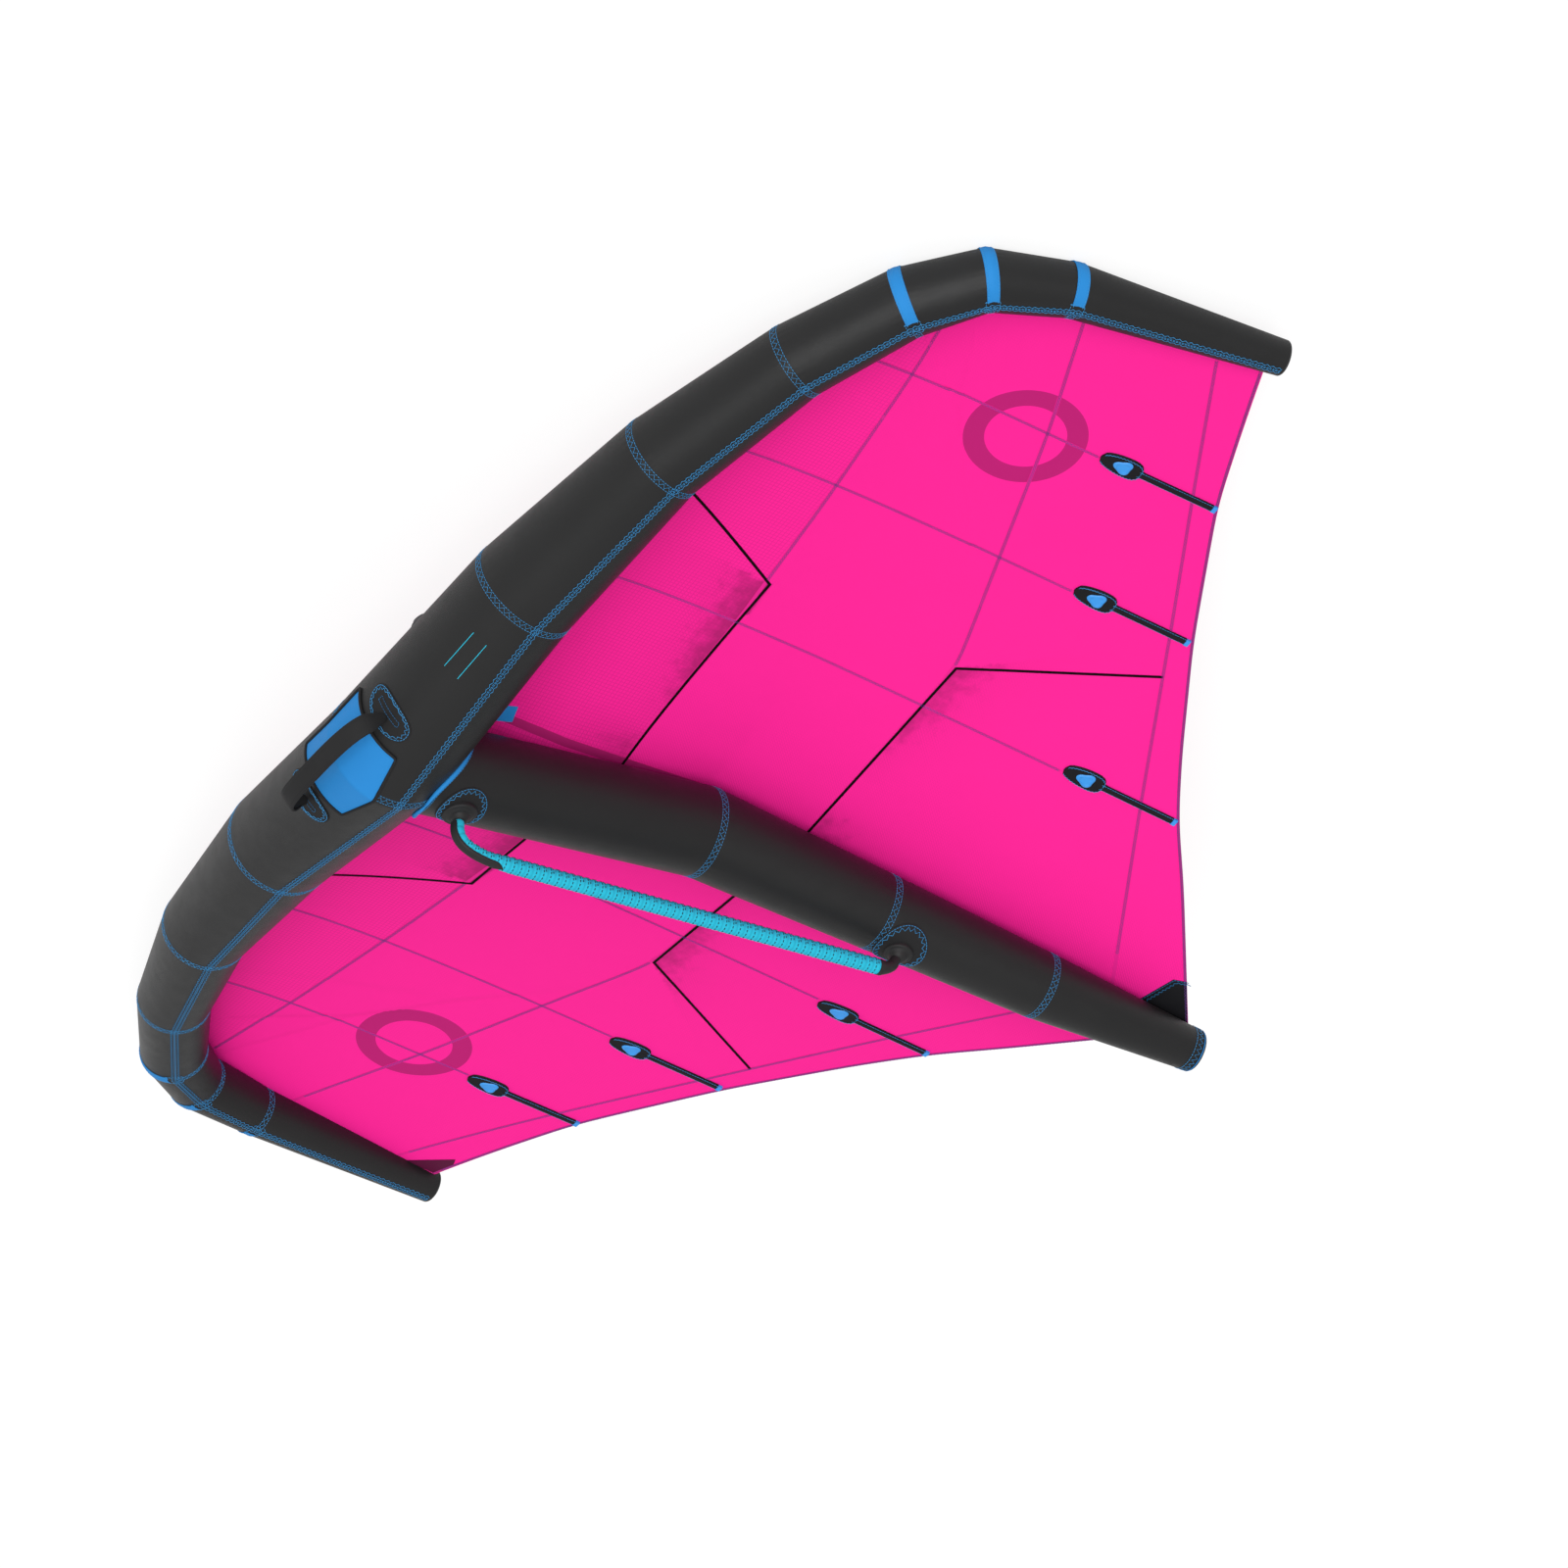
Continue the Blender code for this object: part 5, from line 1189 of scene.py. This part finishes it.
elbow = {"collar": 0.006, "collarLift": 0.0006, "radius": 0.0125, "bead": 0.0006, "beadWidth": 0.0012, "step": 0.0012}
end = handlePoints[8]
way = unit(end - handlePoints[7])
elbowPoints = np.array([end + way * fit, end + way * elbow["collar"], *handlePoints[9:]])
elbowRadii = [longHandle["grip"] + elbow["collarLift"]] * 2
elbowRadii += np.linspace(elbow["radius"], longHandle["neck"], len(elbowPoints) - 2).tolist()
elbowPath, elbowRadius, elbowRun = roundedPath(elbowPoints, elbowRadii, elbow["step"], 14)
elbowRadius += elbow["bead"] * np.exp(-((elbowRun - elbow["collar"]) / elbow["beadWidth"]) ** 2)
makeSkin("rearElbow", beadLoops(elbowPath, sideways, elbowRadius, longHandle["sides"], False), "blackRubber",
         body="long_handle", slot="black_rubber", stands=("rear_elbow",))

# Strap on the outer side of the first curve, tapering to its rounded end.
strap = {
    "width": 0.02, "thickness": 0.0035, "reach": 0.105, "from": 0.004, "sunk": 0.0012, "clear": 0.0006,
    "curl": -0.0022, "endShare": 0.08, "taper": 0.016,
}
reach = mounts["front"][0] + strap["reach"] * mountGap
strapPoints = coverPath[(coverPath[:, 1] < reach) & (coverRun > strap["from"])]
a = turnSteps(20)
c, s = powered(np.cos(a), 0.55), powered(np.sin(a), 0.7)
strapLoops = []
for i, (p, way) in enumerate(zip(strapPoints, pathWays(strapPoints))):
    left = (len(strapPoints) - 1 - i) * longHandle["step"]
    wide = strap["width"] / 2 * math.sqrt(min(1.0, strap["endShare"] + left / strap["taper"]))
    wide *= 1.0 if i > 6 else 0.9 + i / 60
    out = np.cross(way, sideways)
    thick = (strap["thickness"] / 2 + strap["sunk"]) * s + strap["curl"] * np.cos(a) ** 2
    middle = p + out * (longHandle["radius"] + fit + strap["clear"])
    strapLoops.append(middle + np.outer(wide * c, sideways) + np.outer(thick, out))
makeSkin("spineStrap", strapLoops, "blackRubber", body="long_handle", slot="black_webbing",
         stands=("front_spine_strap",))

# Moulded domes with a flange, a step and a soft crown, standing on their patches.
domes = {
    "flange": ((0.0282, -0.0068), (0.0286, -0.001), (0.0286, 0.0012), (0.0279, 0.0026), (0.0262, 0.0036),
               (0.0240, 0.0041), (0.0218, 0.0048), (0.0206, 0.0062)),
    "flangeShares": {"front": 1.2, "rear": 1.0}, "crown": (22, 30, 38, 46, 54, 62, 70, 77, 84, 88), "sides": 56,
}
for word, share in domes["flangeShares"].items():
    along = mounts[word][0]
    point = mountPoint(along)
    normal = np.cross(strut.steps[min(int(strut.stationAt(along, 1, 180.0)), 3)], sideways)
    normal = normal if normal[2] < 0 else -normal
    profile = [(r * share, h) for r, h in domes["flange"]]
    turns = np.radians(domes["crown"])
    profile += np.stack([np.cos(turns), np.sin(turns)], -1).dot(mounts["domeRadius"]).tolist()
    loops = [circleAt(point + normal * h, sideways, np.cross(normal, sideways), r, domes["sides"]) for r, h in profile]
    makeSkin(f"{word}Dome", loops, "blackRubber", slot="black_rubber", stands=(f"{word}_mount_dome",))

# Bright piping where the strut meets the leading edge, thinner towards its two ends.
piping = {
    "radius": 0.0062, "thin": 0.0022, "standShare": 0.7, "back": 0.002, "sides": 144, "rowAt": 0.017,
    "rowLift": 0.0003,
}
angles = turnSteps(piping["sides"], 360)
pipingStart = strutStart(angles)
path = strut.point(pipingStart, angles, piping["radius"] * piping["standShare"]) + [0, piping["back"], 0]
path = softened(path, 3, closed=True)
radii = piping["thin"] + (piping["radius"] - piping["thin"]) * np.abs(np.sin(np.radians(angles))) ** 0.6
uv = uvGrid(np.arange(piping["sides"]) * 0.004, np.arange(12) * 0.002).reshape(-1, 2)
makeSkin("junctionPiping", beadLoops(path, path - path.mean(0), radii), "brightCloth", closed=True,
         slot="bright_cloth", stands=("junction_piping",), uv=uv)
rowStations = np.clip(pipingStart[4:-4] + piping["rowAt"], 0, 1)
patchRows.append(strut.point(rowStations, angles[4:-4], piping["rowLift"]))
print("long handle made")

# Batten pockets
battenPlaces = {"spans": (0.2864, 0.545, 0.7463), "fronts": (0.679, 0.5459, 0.4645), "rears": (0.8144, 0.6823, 0.6004)}
pocket = {
    "width": 0.015, "height": 0.0054, "length": 0.09, "wide": 0.049, "lead": 0.03, "brim": 0.0045,
    "outline": ((0, 0), (0.04, 0.3), (0.12, 0.56), (0.25, 0.77), (0.4, 0.91), (0.55, 0.99), (0.68, 1), (0.8, 0.95),
                (0.89, 0.8), (0.95, 0.55), (0.985, 0.25), (1, 0.02)),
    "risesFrom": 0.066, "riseLength": 0.014, "channel": 0.0007, "channelAt": 0.45, "channelWidth": 0.001,
    "blunt": 0.03, "bluntWidth": 0.35, "least": 0.002, "sunk": -0.0002, "footShare": 0.98,
    "bore": (0.0047, 0.0016), "boreAt": 0.0031, "boreFrom": 0.048,
    "inset": 0.0034, "rowAt": 0.0062, "rowLift": 0.0001, "sway": 0.0011, "zigzagLift": 0.0004, "zigzagThread": 0.0006,
    "dashes": {"pitch": 0.0058, "length": 0.0042, "radius": 0.0005},
}
plug = {
    "radius": 0.0178, "at": 0.047, "round": 0.16, "slim": 0.86,
    "rings": ((1.0, 0.0036), (1.04, 0.005), (0.98, 0.0062), (0.86, 0.0071), (0.74, 0.0073), (0.68, 0.0062),
              (0.4, 0.0062), (0.05, 0.0064)),
}
pocketRows, pocketZigzags = [], []


def makePocket(index, sign, word):
    f = pocket
    half, full = f["width"] / 2, f["wide"] / 2
    span = wing["halfSpan"] * battenPlaces["spans"][index]
    front, rear = (onCanopy(span, cloth["chord"] * battenPlaces[k][index]) for k in ("fronts", "rears"))
    way, length = unit(rear - front), float(np.linalg.norm(rear - front))
    slope = float(np.subtract(*canopyHeight(span + np.array([1, -1]) * f["width"], front[1])))
    across = np.array([2 * f["width"], 0, slope])
    across = unit(across - way * (across @ way))
    down = np.cross(way, across)
    down = down if down[2] < 0 else -down
    shares, widths = np.array(f["outline"]).T
    start, end = (f["length"] * (share - f["lead"]) for share in (shares[0], shares[-1]))

    def spot(a, y, high):
        # Points of the pocket: a metres along the batten, y across it and high out of the cloth.
        return front + sum(np.multiply.outer(v, axis) for v, axis in ((a, way), (y, across), (high, down)))

    def heightAt(a, y):
        hump = easeIn(np.clip((a - f["risesFrom"]) / f["riseLength"], 0, 1))
        round_ = np.sqrt(np.clip(1 - (y / half) ** 2, 0, 1)) ** 0.7
        channel = f["channel"] * np.exp(-((np.abs(y) - half * f["channelAt"]) / f["channelWidth"]) ** 2) * hump
        return np.maximum(f["brim"], (f["brim"] + (f["height"] - f["brim"]) * hump) * round_ - channel)

    def halfWidth(a):
        share = (a - start) / f["length"]
        if share < f["blunt"]:
            return max(full * f["bluntWidth"] * math.sqrt(max(share, 0) / f["blunt"] * 0.9 + 0.1), f["least"])
        return half + (full - half) * float(np.interp(share, shares, widths, right=0.0))

    spread = np.linspace(-1, 1, 25)
    loops = []
    for a in np.unique(np.concatenate([np.linspace(start, end, 40), np.linspace(end, length, 30)])):
        y = spread * halfWidth(a)
        top = spot(a, y, heightAt(a, y) * np.sqrt(np.clip(1 - np.abs(spread) ** 10, 0.0, 1)))
        loops.append(np.concatenate([top, spot(a, y[::-1] * f["footShare"], f["sunk"])]))
    t = math.pi - turnSteps(50)
    bore = f["bore"][0] * np.cos(t), f["boreAt"] + f["bore"][1] * np.sin(t)
    loops += [spot(a, *bore) for a in np.linspace(length, f["boreFrom"], 6)]
    loops = flip(loops, sign)
    uv = np.stack([loops @ flip(way, sign), loops @ flip(across, sign)], -1).reshape(-1, 2)
    makeSkin(f"battenPocket{word}{index + 1}", loops, "pocketBlack", slot="black_webbing",
             stands=(f"batten_pocket_{word.lower()}_{index + 1}",), uv=uv)

    # blue plug, a rounded triangle on the patch
    t = turnSteps(48)
    x, y = plug["radius"] * (1 - plug["round"] * np.cos(3 * t)) * np.stack([np.cos(t), plug["slim"] * np.sin(t)])
    loops = [spot(plug["at"] + x * share, y * share, high) for share, high in plug["rings"]]
    makeSkin(f"pocketPlug{word}{index + 1}", flip(loops, sign), "battenPlastic", slot="bright_cloth")

    # zigzag round the patch and a row of stitches beside each edge of the strip
    border = [(a, halfWidth(a) - f["inset"]) for a in np.linspace(start + 0.003, end - 0.002, 60)]
    border = np.array(border + [(a, -w) for a, w in reversed(border)])
    run = runOf(border)[-1]
    border = pointsAt(border, np.linspace(0, run, int(run / f["inset"])))
    border = border + unit(border - border.mean(0)) * sway(len(border), f["sway"])[:, None]
    pocketZigzags.append(flip(spot(*border.T, f["brim"] + f["zigzagLift"]), sign))
    run = np.linspace(end - 0.004, length - 0.002, 30)
    for y in (-f["rowAt"], f["rowAt"]):
        pocketRows.append(flip(spot(run, y, heightAt(run, y) + f["rowLift"]), sign))


for sign, word in halves:
    for index in range(3):
        makePocket(index, sign, word)
sewLines("pocketStitches", pocketRows, "dash", "threadBlue", **pocket["dashes"])
sewLines("pocketZigzags", pocketZigzags, "thread", "threadBlue", radius=pocket["zigzagThread"])
sewLines("patchStitches", patchRows, "dash", "threadBlue", **mounts["dashes"])
sewLines("anchorBoxes", boxRows, "dash", "threadDeep", **anchors["dashes"])
sewLines("patchScallops", patchZigzags, "thread", "threadBlue", radius=mounts["dashes"]["radius"])
print("batten pockets made")

# Plain printed lines near the left handle patch.
tag = {"from": 0.309, "to": 0.40, "angles": (142.5, 159.5), "width": 0.0012, "lifts": (-0.0004, 0.0005)}
turn = math.degrees(tag["width"] / 2 / float(leading.radiusAt(0.8)))
for index, angle in enumerate(tag["angles"]):
    span, turns = np.linspace(tag["from"], tag["to"], 20), np.linspace(angle - turn, angle + turn, 4)
    grids = [onLeading(span[:, None], turns[None], h) for h in tag["lifts"]]
    makeSlab(f"tagLine{index + 1}", grids, "gripCloth", slot="grip_cloth")

# Parts that keep their own solid get the finish of their material.
kept = {
    "leading_edge_bladder": "bladderFilm", "strut_bladder": "bladderFilm", "bladder_hose": "blackRubber",
    "long_handle_core": "blackWebbing", "inflation_valve": "valvePlastic", "valve_cap": "valvePlastic",
    **{f"batten_{w}_{i}": "battenPlastic" for w in ("left", "right") for i in (1, 2, 3)},
}
for node, finish in kept.items():
    nodes[node].data.materials.clear()
    nodes[node].data.materials.append(finishes[finish])
print("kept parts painted:", len(kept))

# Camera, light and floor
camera = addThing("camera", bpy.data.cameras.new("camera"))
camera.data.lens = 247.487
camera.data.sensor_width = 36
camera.data.clip_end = 120
camera.matrix_world = Matrix((
    (-0.5355232, -0.5241409, -0.6621867, -13.938715028982308),
    (0.8423685, -0.2755776, -0.4631116, -9.675145995969643),
    (0.060252, -0.8058122, 0.589098, 12.499735482703553),
    (0, 0, 0, 1),
))
bpy.context.scene.camera = camera

studio = {
    "world": 0.54, "floorGlow": 0.84, "floorPaint": 0.2, "floorBounce": 0.85, "floorHalf": 40,
    "key": {"energy": 2.0, "angle": 40, "from": (-0.62, -0.47, 0.65)},
    "fill": {"energy": 0.55, "angle": 120, "from": (0.45, -0.55, 0.9)},
}
white = (1, 1, 1, 1)
world = bpy.data.worlds.new("studio")
bpy.context.scene.world = world
world.use_nodes = True
tree = world.node_tree
tree.nodes.clear()
rays = addNode(tree, "ShaderNodeLightPath").outputs
seen = math2(tree, "MAXIMUM", rays["Is Camera Ray"], rays["Is Transmission Ray"])
lit, plain = (addNode(tree, "ShaderNodeBackground", {"Color": white, "Strength": s}).outputs[0]
              for s in (studio["world"], 1.0))
mixed = addNode(tree, "ShaderNodeMixShader", {0: seen, 1: lit, 2: plain})
tree.links.new(mixed.outputs[0], addNode(tree, "ShaderNodeOutputWorld").inputs[0])

for name in ("key", "fill"):
    lamp = addThing(name, bpy.data.lights.new(name, "SUN"))
    lamp.data.energy = studio[name]["energy"]
    lamp.data.angle = math.radians(studio[name]["angle"])
    lamp.rotation_euler = Vector(studio[name]["from"]).to_track_quat("Z", "Y").to_euler()

half = studio["floorHalf"]
floorMesh = bpy.data.meshes.new("floor")
floorMesh.from_pydata([(-half, -half, 0), (half, -half, 0), (half, half, 0), (-half, half, 0)], [], [(0, 1, 2, 3)])
floor = addThing("floor", floorMesh)
ground = bpy.data.materials.new("paleFloor")
ground.use_nodes = True
tree = ground.node_tree
tree.nodes.clear()
matt, part = (addNode(tree, "ShaderNodeBsdfDiffuse", {"Color": (tone, tone, tone, 1)}).outputs[0]
              for tone in (studio["floorBounce"], studio["floorPaint"]))
glow = addNode(tree, "ShaderNodeEmission", {"Color": white, "Strength": studio["floorGlow"]}).outputs[0]
shown = addNode(tree, "ShaderNodeAddShader", {0: part, 1: glow}).outputs[0]
rays = addNode(tree, "ShaderNodeLightPath").outputs
mixed = addNode(tree, "ShaderNodeMixShader", {0: rays["Is Camera Ray"], 1: matt, 2: shown})
tree.links.new(mixed.outputs[0], addNode(tree, "ShaderNodeOutputMaterial").inputs[0])
floorMesh.materials.append(ground)
bpy.context.scene.view_settings.view_transform = "Standard"
